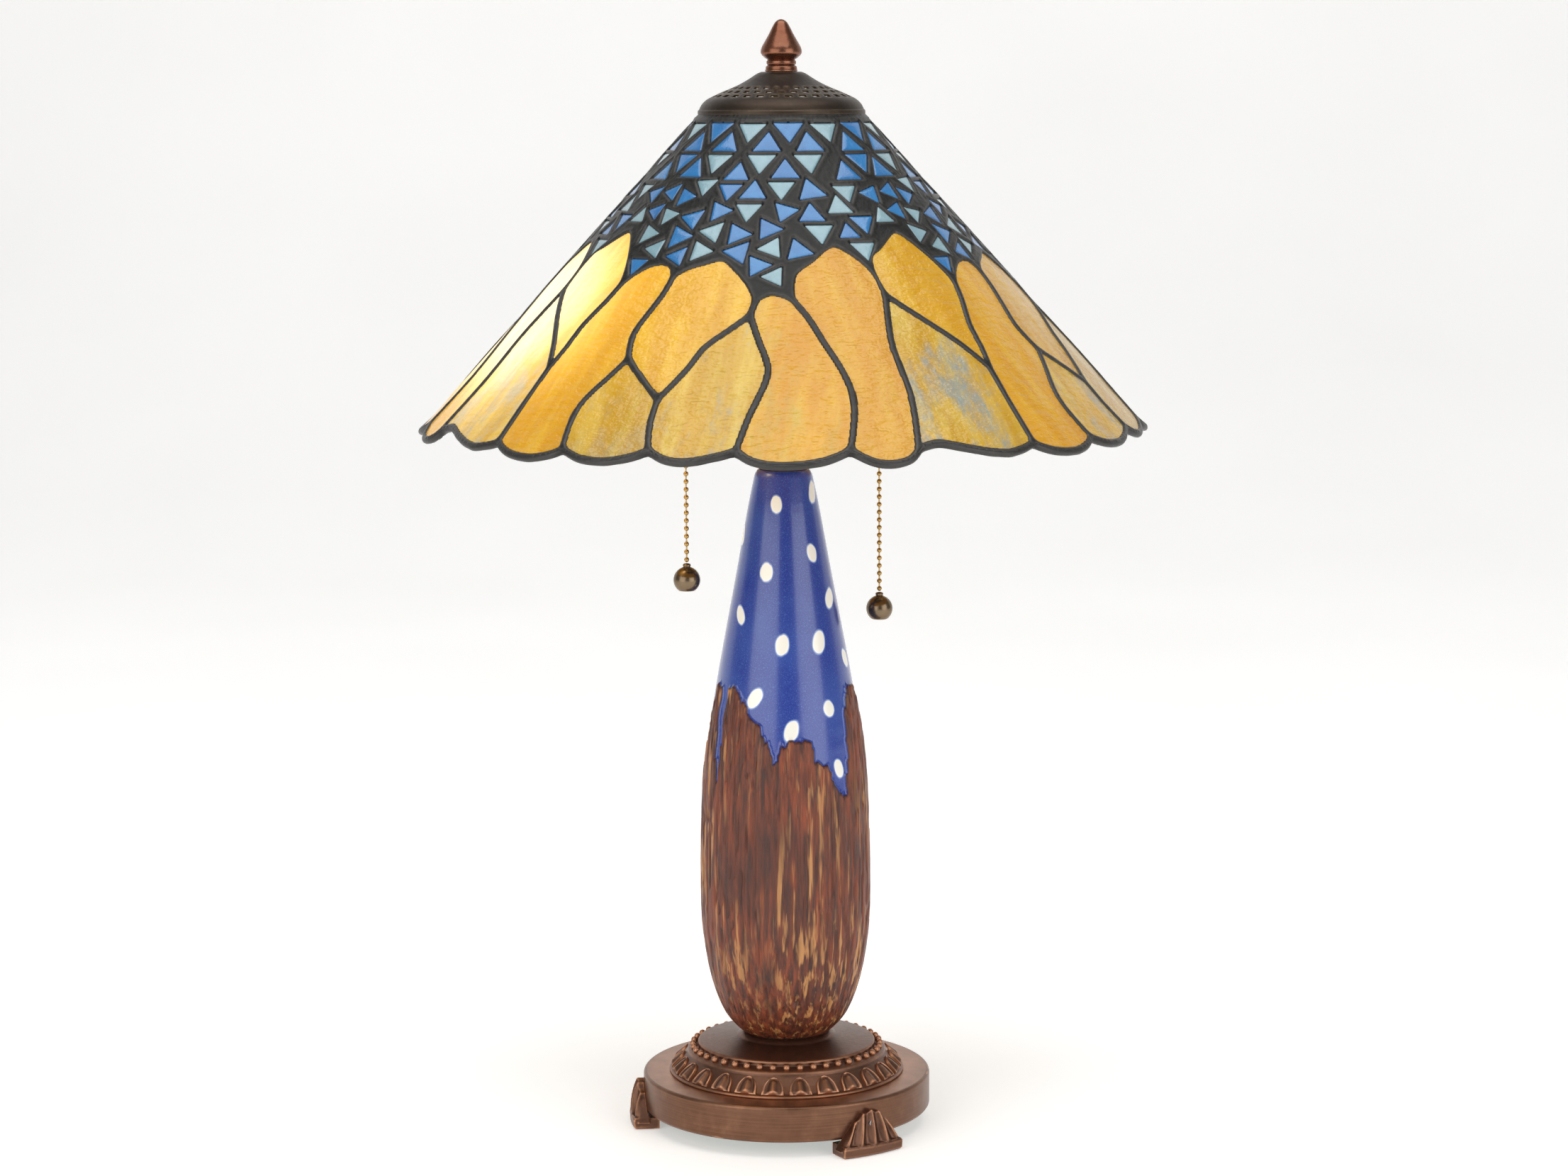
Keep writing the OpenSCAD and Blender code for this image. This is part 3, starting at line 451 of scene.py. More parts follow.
class Effect:
    """A shader node group that several finishes share, built once."""

    _built: dict[str, bpy.types.NodeTree] = {}

    @classmethod
    def place(cls, wires: Wiring, name: str, **values: object) -> bpy.types.Node:
        """Puts an effect into a material.

        Args:
            wires: The material's wiring.
            name: Name of the effect, also the name of the method that builds it.
            values: Its inputs.

        Returns:
            The group node.
        """
        if name not in cls._built:
            cls._built[name] = getattr(cls, name)()
        node = wires.tree.nodes.new("ShaderNodeGroup")
        node.node_tree = cls._built[name]
        for key, value in values.items():
            wires.feed(node.inputs[key.replace("_", " ")], value)
        return node

    @staticmethod
    def _group(name: str, inputs: dict[str, str], outputs: dict[str, str]
               ) -> tuple[Wiring, bpy.types.Node, bpy.types.Node]:
        """Starts a group with named sockets.

        Args:
            name: Name of the group.
            inputs: Socket kinds by name.
            outputs: Socket kinds by name.

        Returns:
            The wiring, the input node and the output node.
        """
        tree = bpy.data.node_groups.new(name, "ShaderNodeTree")
        for way, sockets in (("INPUT", inputs), ("OUTPUT", outputs)):
            for label, kind in sockets.items():
                tree.interface.new_socket(label, in_out=way, socket_type="NodeSocket" + kind)
        return Wiring(tree), tree.nodes.new("NodeGroupInput"), tree.nodes.new("NodeGroupOutput")

    @staticmethod
    def wear() -> bpy.types.NodeTree:
        """Bright rubbed edges and dark recesses of a patinated metal."""
        w, src, out = Effect._group("wear", {"Size": "Float", "Body": "Color", "Rubbed": "Color",
                                             "Recess": "Color", "Amount": "Float"},
                                    {"Colour": "Color", "Mask": "Float"})
        geo = w.add("NewGeometry")
        coord = w.add("TexCoord").outputs["Object"]
        scaled = w.add("VectorMath", operation="SCALE")
        w.feed(scaled.inputs[0], coord)
        w.feed(scaled.inputs["Scale"], src.outputs["Size"])
        patch = w.noise(scaled.outputs[0], 1.0, 5.0, 0.6)
        edge = w.ramp(w.math("ADD", geo.outputs["Pointiness"], w.math("MULTIPLY", patch, 0.06)),
                      0.525, 0.585)
        edge = w.math("MULTIPLY", edge, src.outputs["Amount"], clamp=True)
        pit = w.ramp(w.math("SUBTRACT", 1.0, geo.outputs["Pointiness"]), 0.51, 0.60)
        mottled = w.blend(w.ramp(patch, 0.35, 0.75), src.outputs["Body"],
                          w.blend(0.5, src.outputs["Body"], src.outputs["Recess"]))
        dark = w.blend(pit, mottled, src.outputs["Recess"])
        w.feed(out.inputs["Colour"], w.blend(edge, dark, src.outputs["Rubbed"]))
        w.feed(out.inputs["Mask"], edge)
        return w.tree

    @staticmethod
    def grain() -> bpy.types.NodeTree:
        """Fine bumps of a cast or soldered skin."""
        w, src, out = Effect._group("grain", {"Size": "Float", "Fine": "Float"}, {"Height": "Float"})
        coord = w.add("TexCoord").outputs["Object"]
        heights = []
        for socket in ("Size", "Fine"):
            scaled = w.add("VectorMath", operation="SCALE")
            w.feed(scaled.inputs[0], coord)
            w.feed(scaled.inputs["Scale"], src.outputs[socket])
            heights.append(w.noise(scaled.outputs[0], 1.0, 3.0, 0.55))
        w.feed(out.inputs["Height"], w.math("ADD", heights[0], w.math("MULTIPLY", heights[1], 0.4)))
        return w.tree

    @staticmethod
    def turned() -> bpy.types.NodeTree:
        """Circular tool marks round the lamp's axis."""
        w, src, out = Effect._group("turned", {"Pitch": "Float"}, {"Height": "Float"})
        split = w.add("SeparateXYZ")
        w.feed(split.inputs[0], w.add("TexCoord").outputs["Object"])
        x, y, z = split.outputs
        radius = w.math("SQRT", w.math("ADD", w.math("MULTIPLY", x, x), w.math("MULTIPLY", y, y)))
        join = w.add("CombineXYZ")
        w.feed(join.inputs[0], w.math("MULTIPLY", radius, src.outputs["Pitch"]))
        w.feed(join.inputs[1], w.math("MULTIPLY", z, src.outputs["Pitch"]))
        w.feed(join.inputs[2], w.math("MULTIPLY", w.math("ARCTAN2", y, x), 1.2))
        w.feed(out.inputs["Height"], w.noise(join.outputs[0], 1.0, 4.0, 0.7))
        return w.tree

    @staticmethod
    def glow() -> bpy.types.NodeTree:
        """How brightly a lit bulb behind a pane shows through it, by distance."""
        w, src, out = Effect._group("glow", {"Lamp": "Vector", "Reach": "Float"}, {"Mask": "Float"})
        gap = w.add("VectorMath", operation="DISTANCE")
        w.feed(gap.inputs[0], w.add("TexCoord").outputs["Object"])
        w.feed(gap.inputs[1], src.outputs["Lamp"])
        ratio = w.math("DIVIDE", gap.outputs["Value"], src.outputs["Reach"])
        fall = w.math("POWER", ratio, 4.0)
        w.feed(out.inputs["Mask"], w.math("DIVIDE", 1.0, w.math("ADD", 1.0, fall)))
        return w.tree


class Finish:
    """The base of every finish: a material with one shader and its wiring."""

    name: str

    def material(self) -> bpy.types.Material:
        """Builds the material once and hands it out again afterwards."""
        made = bpy.data.materials.get(self.name)
        if made:
            return made
        made = bpy.data.materials.new(self.name)
        made.use_nodes = True
        wires = Wiring(made.node_tree)
        shader = made.node_tree.nodes["Principled BSDF"]
        self.wire(wires, shader)
        return made

    def wire(self, w: Wiring, shader: bpy.types.Node) -> None:
        """Lays out the nodes of this finish."""
        raise NotImplementedError

    @staticmethod
    def bump(w: Wiring, shader: bpy.types.Node, height: bpy.types.NodeSocket, depth: float,
             strength: float = 1.0) -> None:
        """Feeds a height into the shader's normal.

        Args:
            w: The wiring.
            shader: The shader.
            height: The height, about 0 to 1.
            depth: What a height of 1 stands for, in metres.
            strength: How much of it shows.
        """
        node = w.add("Bump", Distance=depth, Strength=strength)
        w.feed(node.inputs["Height"], height)
        w.feed(shader.inputs["Normal"], node.outputs[0])


@dataclass(frozen=True)
class Patina(Finish):
    """Aged metal: a dark body, rubbed edges and fine grain."""

    name: str
    body: Colour
    rubbed: Colour
    recess: Colour
    roughness: float = 0.4
    metallic: float = 0.9
    wear: float = 1.0
    grain_depth: float = 0.00012
    tool_marks: float = 0.0

    def wire(self, w: Wiring, shader: bpy.types.Node) -> None:
        """Lays out the nodes of this finish."""
        worn = Effect.place(w, "wear", Size=90.0, Body=self.body, Rubbed=self.rubbed,
                            Recess=self.recess, Amount=self.wear)
        grain = Effect.place(w, "grain", Size=420.0, Fine=1900.0)
        height = grain.outputs["Height"]
        colour = worn.outputs["Colour"]
        rough = w.math("ADD", w.math("MULTIPLY", height, 0.16), self.roughness - 0.12)
        if self.tool_marks:
            marks = Effect.place(w, "turned", Pitch=2600.0).outputs["Height"]
            height = w.math("ADD", w.math("MULTIPLY", height, 0.25), w.math("MULTIPLY", marks, 1.0))
            colour = w.blend(w.ramp(marks, 0.35, 0.7), colour,
                             w.blend(0.22, colour, self.rubbed))
            rough = w.math("ADD", w.math("MULTIPLY", marks, 0.16), self.roughness - 0.08)
        w.feed(shader.inputs["Base Color"], colour)
        w.feed(shader.inputs["Roughness"], rough)
        shader.inputs["Metallic"].default_value = self.metallic
        self.bump(w, shader, height, self.grain_depth)


@dataclass(frozen=True)
class ArtGlass(Finish):
    """Streaky, rippled sheet glass, lit from behind near a bulb."""

    name: str
    base: Colour
    streak: Colour
    smoke: Colour
    glow: Colour
    lamp: tuple[float, float, float]
    smoky: float = 0.2
    ripple: float = 0.0017
    shine: float = 0.18

    def wire(self, w: Wiring, shader: bpy.types.Node) -> None:
        """Lays out the nodes of this finish."""
        coord = w.add("TexCoord").outputs["Object"]
        flow = w.add("Attribute", attribute_name="flow").outputs["Vector"]
        pane = w.add("Attribute", attribute_name="pane").outputs["Fac"]
        streaks = w.noise(w.stretch(flow, (1.0, 0.16, 1.0)), 95.0, 4.0, 0.6)
        broad = w.noise(w.stretch(flow, (1.0, 0.4, 1.0)), 26.0, 3.0, 0.55)
        smoke = w.noise(w.stretch(flow, (1.0, 0.45, 1.0)), 34.0, 5.0, 0.7)
        tinted = w.blend(w.ramp(streaks, 0.36, 0.72), self.base, self.streak)
        tinted = w.blend(w.math("MULTIPLY", w.ramp(broad, 0.4, 0.75), 0.55), tinted,
                         w.blend(0.6, tinted, rgb("dba425")))
        share = w.math("MULTIPLY", w.ramp(smoke, 0.47, 0.68), w.ramp(pane, 1 - self.smoky - 0.15,
                                                                       1 - self.smoky + 0.15))
        tinted = w.blend(w.math("MULTIPLY", share, 0.8), tinted, self.smoke)
        shade = w.add("HueSaturation", Color=tinted)
        w.feed(shade.inputs["Value"], w.math("ADD", 0.86, w.math("MULTIPLY", pane, 0.26)))
        w.feed(shader.inputs["Base Color"], shade.outputs[0])
        lit = Effect.place(w, "glow", Lamp=self.lamp, Reach=0.068).outputs["Mask"]
        haze = w.blend(w.math("POWER", lit, 1.6), self.glow, (1.0, 0.86, 0.5))
        patchy = w.math("MULTIPLY", lit, w.math("ADD", 0.55, w.math("MULTIPLY", streaks, 0.9)))
        w.feed(shader.inputs["Emission Color"],
               w.blend(patchy, (0.0, 0.0, 0.0), haze))
        shader.inputs["Emission Strength"].default_value = 1.25
        ripple = w.noise(w.stretch(flow, (0.6, 1.3, 1.0)), 190.0, 2.0, 0.5)
        fine = w.noise(coord, 600.0, 2.0, 0.5)
        height = w.math("ADD", ripple, w.math("MULTIPLY", fine, 0.25))
        self.bump(w, shader, height, self.ripple)
        w.feed(shader.inputs["Roughness"], w.math("ADD", 0.14, w.math("MULTIPLY", ripple, 0.16)))
        shader.inputs["Coat Weight"].default_value = self.shine
        shader.inputs["Coat Roughness"].default_value = 0.06
        shader.inputs["Transmission Weight"].default_value = 0.0
        shader.inputs["IOR"].default_value = 1.5


@dataclass(frozen=True)
class JewelGlass(Finish):
    """Small cast glass jewels: deeper at the edge, clearer in the middle."""

    name: str
    middle: Colour
    edge: Colour
    other: Colour

    def wire(self, w: Wiring, shader: bpy.types.Node) -> None:
        """Lays out the nodes of this finish."""
        coord = w.add("TexCoord").outputs["Object"]
        rim = w.add("Attribute", attribute_name="rim").outputs["Fac"]
        pane = w.add("Attribute", attribute_name="pane").outputs["Fac"]
        cloud = w.noise(coord, 130.0, 4.0, 0.6)
        body = w.blend(w.math("MULTIPLY", pane, 0.55), self.middle, self.other)
        body = w.blend(w.ramp(cloud, 0.35, 0.75), body, w.blend(0.35, body, self.edge))
        w.feed(shader.inputs["Base Color"], w.blend(w.ramp(rim, 0.35, 1.0), body, self.edge))
        grit = w.noise(coord, 900.0, 2.0, 0.5)
        height = w.math("ADD", cloud, w.math("MULTIPLY", grit, 0.12))
        self.bump(w, shader, height, 0.0006)
        w.feed(shader.inputs["Roughness"], w.math("ADD", 0.16, w.math("MULTIPLY", cloud, 0.2)))
        shader.inputs["Coat Weight"].default_value = 0.6
        shader.inputs["Coat Roughness"].default_value = 0.08
        shader.inputs["IOR"].default_value = 1.5


@dataclass(frozen=True)
class GlazedBark(Finish):
    """Cobalt glaze with milk spots over carved, stained bark, in one ceramic skin, with painted shade
    along the bark's raised border.
    """

    name: str = "glazed ceramic"
    deep: Colour = rgb("142e8c")
    light: Colour = rgb("3f66b4")
    milk: Colour = rgb("f1efe6")
    halo: Colour = rgb("7d9ad6")
    russet: Colour = rgb("8a3f1e")
    umber: Colour = rgb("3b1c11")
    tan: Colour = rgb("cd9256")

    def wire(self, w: Wiring, shader: bpy.types.Node) -> None:
        """Lays out the nodes of this finish."""
        coord = w.add("TexCoord").outputs["Object"]
        bark = w.add("Attribute", attribute_name="bark").outputs["Fac"]
        spot = w.add("Attribute", attribute_name="spot").outputs["Fac"]
        groove = w.add("Attribute", attribute_name="groove").outputs["Fac"]
        edge = w.add("Attribute", attribute_name="edge").outputs["Fac"]
        speck = w.noise(coord, 1500.0, 2.0, 0.6)
        cloud = w.noise(coord, 22.0, 3.0, 0.5)
        glaze = w.blend(w.ramp(speck, 0.46, 0.84), self.deep, self.light)
        glaze = w.blend(w.math("MULTIPLY", w.ramp(cloud, 0.4, 0.8), 0.35), glaze, self.light)
        glaze = w.blend(w.ramp(spot, 0.08, 0.5), glaze, self.halo)
        glaze = w.blend(w.ramp(spot, 0.45, 0.75), glaze, self.milk)
        strokes = w.noise(w.stretch(coord, (1.0, 1.0, 0.085)), 330.0, 4.0, 0.65)
        patches = w.noise(w.stretch(coord, (1.0, 1.0, 0.45)), 26.0, 3.0, 0.6)
        wood = w.blend(w.ramp(strokes, 0.3, 0.72), self.umber, self.russet)
        wood = w.blend(w.math("MULTIPLY", w.ramp(patches, 0.5, 0.64), 0.55), wood, self.umber)
        light = w.noise(w.stretch(coord, (1.0, 1.0, 0.06)), 260.0, 3.0, 0.6)
        where = w.noise(w.stretch(coord, (1.0, 1.0, 0.3)), 20.0, 2.0, 0.5)
        tan = w.math("MULTIPLY", w.ramp(light, 0.52, 0.64), w.ramp(where, 0.36, 0.56))
        wood = w.blend(w.math("MULTIPLY", tan, 0.75), wood, self.tan)
        wood = w.blend(w.math("MULTIPLY", groove, 0.5), wood, self.umber)
        # Painted shade: umber along the bark's raised border stands in for the thin shadow line at its
        # edge.
        wood = w.blend(w.math("MULTIPLY", edge, 0.7), wood, self.umber)
        solid = w.ramp(bark, 0.3, 0.7)
        w.feed(shader.inputs["Base Color"], w.blend(solid, glaze, wood))
        satin = w.math("ADD", 0.42, w.math("MULTIPLY", strokes, 0.2))
        gloss = w.math("ADD", 0.26, w.math("MULTIPLY", speck, 0.08))
        mix = w.add("Mix", data_type="FLOAT")
        w.feed(mix.inputs[0], solid)
        w.feed(mix.inputs[2], gloss)
        w.feed(mix.inputs[3], satin)
        w.feed(shader.inputs["Roughness"], mix.outputs[0])
        w.feed(shader.inputs["Coat Weight"],
               w.math("SUBTRACT", 0.9, w.math("MULTIPLY", solid, 0.82)))
        shader.inputs["Coat Roughness"].default_value = 0.16
        height = w.math("ADD", w.math("MULTIPLY", w.math("MULTIPLY", strokes, solid), 1.0),
                        w.math("MULTIPLY", speck, 0.02))
        self.bump(w, shader, height, 0.0011)


@dataclass(frozen=True)
class Plain(Finish):
    """A plain working surface with a little mottling and grain, for hidden pieces."""

    name: str
    colour: Colour
    second: Colour
    roughness: float = 0.5
    metallic: float = 0.0
    scale: float = 160.0
    depth: float = 0.0002

    def wire(self, w: Wiring, shader: bpy.types.Node) -> None:
        """Lays out the nodes of this finish."""
        grain = Effect.place(w, "grain", Size=self.scale, Fine=self.scale * 6).outputs["Height"]
        w.feed(shader.inputs["Base Color"], w.blend(w.ramp(grain, 0.4, 1.0), self.colour, self.second))
        w.feed(shader.inputs["Roughness"],
               w.math("ADD", self.roughness - 0.08, w.math("MULTIPLY", grain, 0.12)))
        shader.inputs["Metallic"].default_value = self.metallic
        self.bump(w, shader, grain, self.depth)


@dataclass(frozen=True)
class Backdrop(Finish):
    """The pale sweep of the studio, a little lit of its own."""

    name: str = "pale sweep"

    def wire(self, w: Wiring, shader: bpy.types.Node) -> None:
        """Lays out the nodes of this finish."""
        cloud = w.noise(w.add("TexCoord").outputs["Object"], 2.0, 2.0, 0.5)
        w.feed(shader.inputs["Base Color"], w.blend(cloud, rgb("efeeec"), rgb("f6f5f3")))
        w.feed(shader.inputs["Roughness"], w.math("ADD", 0.7, w.math("MULTIPLY", cloud, 0.1)))
        w.feed(shader.inputs["Emission Color"], w.blend(cloud, rgb("f2f2f1"), rgb("ffffff")))
        shader.inputs["Emission Strength"].default_value = 0.38


@dataclass(frozen=True)
class Frosted(Finish):
    """The frosted envelope of a bulb, lit or unlit."""

    name: str
    lit: bool

    def wire(self, w: Wiring, shader: bpy.types.Node) -> None:
        """Lays out the nodes of this finish."""
        grain = Effect.place(w, "grain", Size=500.0, Fine=2500.0).outputs["Height"]
        w.feed(shader.inputs["Base Color"],
               w.blend(w.ramp(grain, 0.3, 1.1), rgb("f4efe2"), rgb("fffaf0")))
        w.feed(shader.inputs["Roughness"], w.math("ADD", 0.3, w.math("MULTIPLY", grain, 0.1)))
        self.bump(w, shader, grain, 0.00005)
        if self.lit:
            w.feed(shader.inputs["Emission Color"],
                   w.blend(w.ramp(grain, 0.2, 1.2), (1.0, 0.72, 0.38), (1.0, 0.82, 0.52)))
            shader.inputs["Emission Strength"].default_value = 6.0


COPPER = Patina("brushed copper plate", rgb("644637"), rgb("a87a5e"), rgb("33261f"), 0.32,
                tool_marks=1.0, grain_depth=0.00006)
CASTING = Patina("antique copper casting", rgb("6f4f40"), rgb("bd8868"), rgb("2a1f1a"), 0.38)
BRIGHT_COPPER = Patina("polished copper", rgb("b5744f"), rgb("dca07c"), rgb("5a3423"), 0.22,
                       wear=0.5, grain_depth=0.00004)
ANTIQUE = Patina("antique copper", rgb("7b4c39"), rgb("b88468"), rgb("2b1a14"), 0.27, wear=0.7,
                 grain_depth=0.00005)
BRONZE = Patina("black bronze", rgb("3a3029"), rgb("6d5f50"), rgb("100d0b"), 0.42, wear=0.7)
SOLDER = Patina("patinated solder", rgb("1f1e1d"), rgb("5f5d5a"), rgb("0d0c0b"), 0.4, 0.6,
                wear=0.4, grain_depth=0.00025)
OLD_BRASS = Patina("aged brass", rgb("8a6a3c"), rgb("c9a566"), rgb("33261a"), 0.3, wear=0.8,
                   grain_depth=0.00006)
BALL_BRONZE = Patina("ball bronze", rgb("7b6954"), rgb("a48c6c"), rgb("5d4f40"), 0.24, wear=0.3,
                     grain_depth=0.00005)


# ---------------------------------------------------------------- the shade


@dataclass
class Cone:
    """The shade's outer cone, read from the leading: slant runs from its top edge down."""

    top_r: float = 0.0
    top_z: float = 0.0
    angle: float = 0.0
    slant: float = 0.0

    @classmethod
    def of_leading(cls) -> "Cone":
        """Reads the cone from the outer corners of the leading."""
        co = np.concatenate([points_of(node) for node in LEADING])
        r = np.hypot(co[:, 0], co[:, 1])
        top, rim = int(np.argmax(co[:, 2])), int(np.argmax(r))
        rise, run = float(co[top, 2] - co[rim, 2]), float(r[rim] - r[top])
        return cls(float(r[top]), float(co[top, 2]), math.atan2(run, rise), math.hypot(run, rise))

    def unrolled(self, points: np.ndarray) -> np.ndarray:
        """Azimuth in degrees and slant in metres of points in space.

        Args:
            points: One row of x, y and z for each point.

        Returns:
            One row of azimuth and slant for each point.
        """
        az = np.degrees(np.arctan2(points[:, 0], -points[:, 1]))
        r = np.hypot(points[:, 0], points[:, 1])
        s = ((r - self.top_r) * math.sin(self.angle)
             + (self.top_z - points[:, 2]) * math.cos(self.angle))
        return np.stack([az, s], 1)

    def placed(self, az: np.ndarray, s: np.ndarray, depth: np.ndarray) -> np.ndarray:
        """Points on the cone, a depth under its outer face.

        Args:
            az: Azimuths in degrees.
            s: Slants in metres.
            depth: Depths in metres.

        Returns:
            One row of x, y and z for each point.
        """
        r = self.top_r + s * math.sin(self.angle) - depth * math.cos(self.angle)
        z = self.top_z - s * math.cos(self.angle) - depth * math.sin(self.angle)
        a = np.radians(az)
        return np.stack([r * np.sin(a), -r * np.cos(a), z], 1)

    def flat(self, az: np.ndarray, s: np.ndarray, middle: float) -> tuple[np.ndarray, np.ndarray]:
        """Lays points flat on the developed cone, about the azimuth middle."""
        reach = self.top_r / math.sin(self.angle) + s
        a = np.radians(az - middle) * math.sin(self.angle)
        return reach * np.sin(a), reach * np.cos(a)

    def curled(self, x: np.ndarray, y: np.ndarray, middle: float) -> tuple[np.ndarray, np.ndarray]:
        """Turns flat points back into azimuths and slants."""
        s = np.hypot(x, y) - self.top_r / math.sin(self.angle)
        return np.degrees(np.arctan2(x, y)) / math.sin(self.angle) + middle, s


@dataclass
class Pane:
    """One piece of glass: its outline laid flat about its own middle azimuth."""

    middle: float
    outline: np.ndarray
    jewel: bool

    def distance(self, x: np.ndarray, y: np.ndarray) -> np.ndarray:
        """Distance from the outline, negative inside it.

        Args:
            x: First flat coordinates.
            y: Second flat coordinates.

        Returns:
            The distances, in metres.
        """
        best = np.full(x.shape, 1e9)
        inside = np.zeros(x.shape, bool)
        ends = np.roll(self.outline, -1, axis=0)
        for (ax, ay), (bx, by) in zip(self.outline, ends):
            dx, dy = bx - ax, by - ay
            t = np.clip(((x - ax) * dx + (y - ay) * dy) / (dx * dx + dy * dy + 1e-18), 0, 1)
            best = np.minimum(best, (x - ax - t * dx) ** 2 + (y - ay - t * dy) ** 2)
            if ay != by:
                cross = ((ay > y) != (by > y)) & (x < dx * (y - ay) / (by - ay) + ax)
                inside ^= cross
        gap = np.sqrt(best)
        return np.where(inside, -gap, gap)


def rounded_loop(loop: np.ndarray, radius: float, steps: int) -> np.ndarray:
    """Rounds every corner of a closed outline.

    Args:
        loop: The corners.
        radius: Distance from a corner at which its rounding starts.
        steps: Pieces in each rounding.

    Returns:
        The rounded outline.
    """
    out = []
    for i, b in enumerate(loop):
        a, c = loop[i - 1], loop[(i + 1) % len(loop)]
        start = b + (a - b) * min(radius / max(np.linalg.norm(a - b), 1e-9), 0.5)
        end = b + (c - b) * min(radius / max(np.linalg.norm(c - b), 1e-9), 0.5)
        for k in range(steps + 1):
            t = k / steps
            out.append(start * (1 - t) ** 2 + 2 * b * t * (1 - t) + end * t * t)
    keep = [q for i, q in enumerate(out) if np.linalg.norm(q - out[i - 1]) > 1e-6]
    return np.array(keep)


def outer_loops(node: str, cone: Cone) -> list[np.ndarray]:
    """The outlines of a node's panes on the outside of the shade.

    Args:
        node: Name of the CAD node.
        cone: The shade's cone.

    Returns:
        One array of points in space for each pane.
    """
    bm = bmesh.new()
    bm.from_mesh(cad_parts[node].data)
    bmesh.ops.remove_doubles(bm, verts=bm.verts, dist=1e-6)
    up = math.sin(cone.angle)
    outer = set()
    for face in bm.faces:
        c = face.calc_center_median()
        flat = Vector((c.x, c.y, 0)).normalized() * math.cos(cone.angle)
        if face.normal.dot(Vector((flat.x, flat.y, up))) > 0.9:
            outer.add(face)
    follow = {}
    for face in outer:
        for loop in face.loops:
            if sum(f in outer for f in loop.edge.link_faces) == 1:
                follow[loop.vert] = loop.link_loop_next.vert
    loops = []
    while follow:
        start, vert = next(iter(follow.items()))
        run = [start]
        del follow[start]
        while vert in follow:
            run.append(vert)
            vert = follow.pop(vert)
        loops.append(np.array([tuple(v.co) for v in run]))
    bm.free()
    return loops


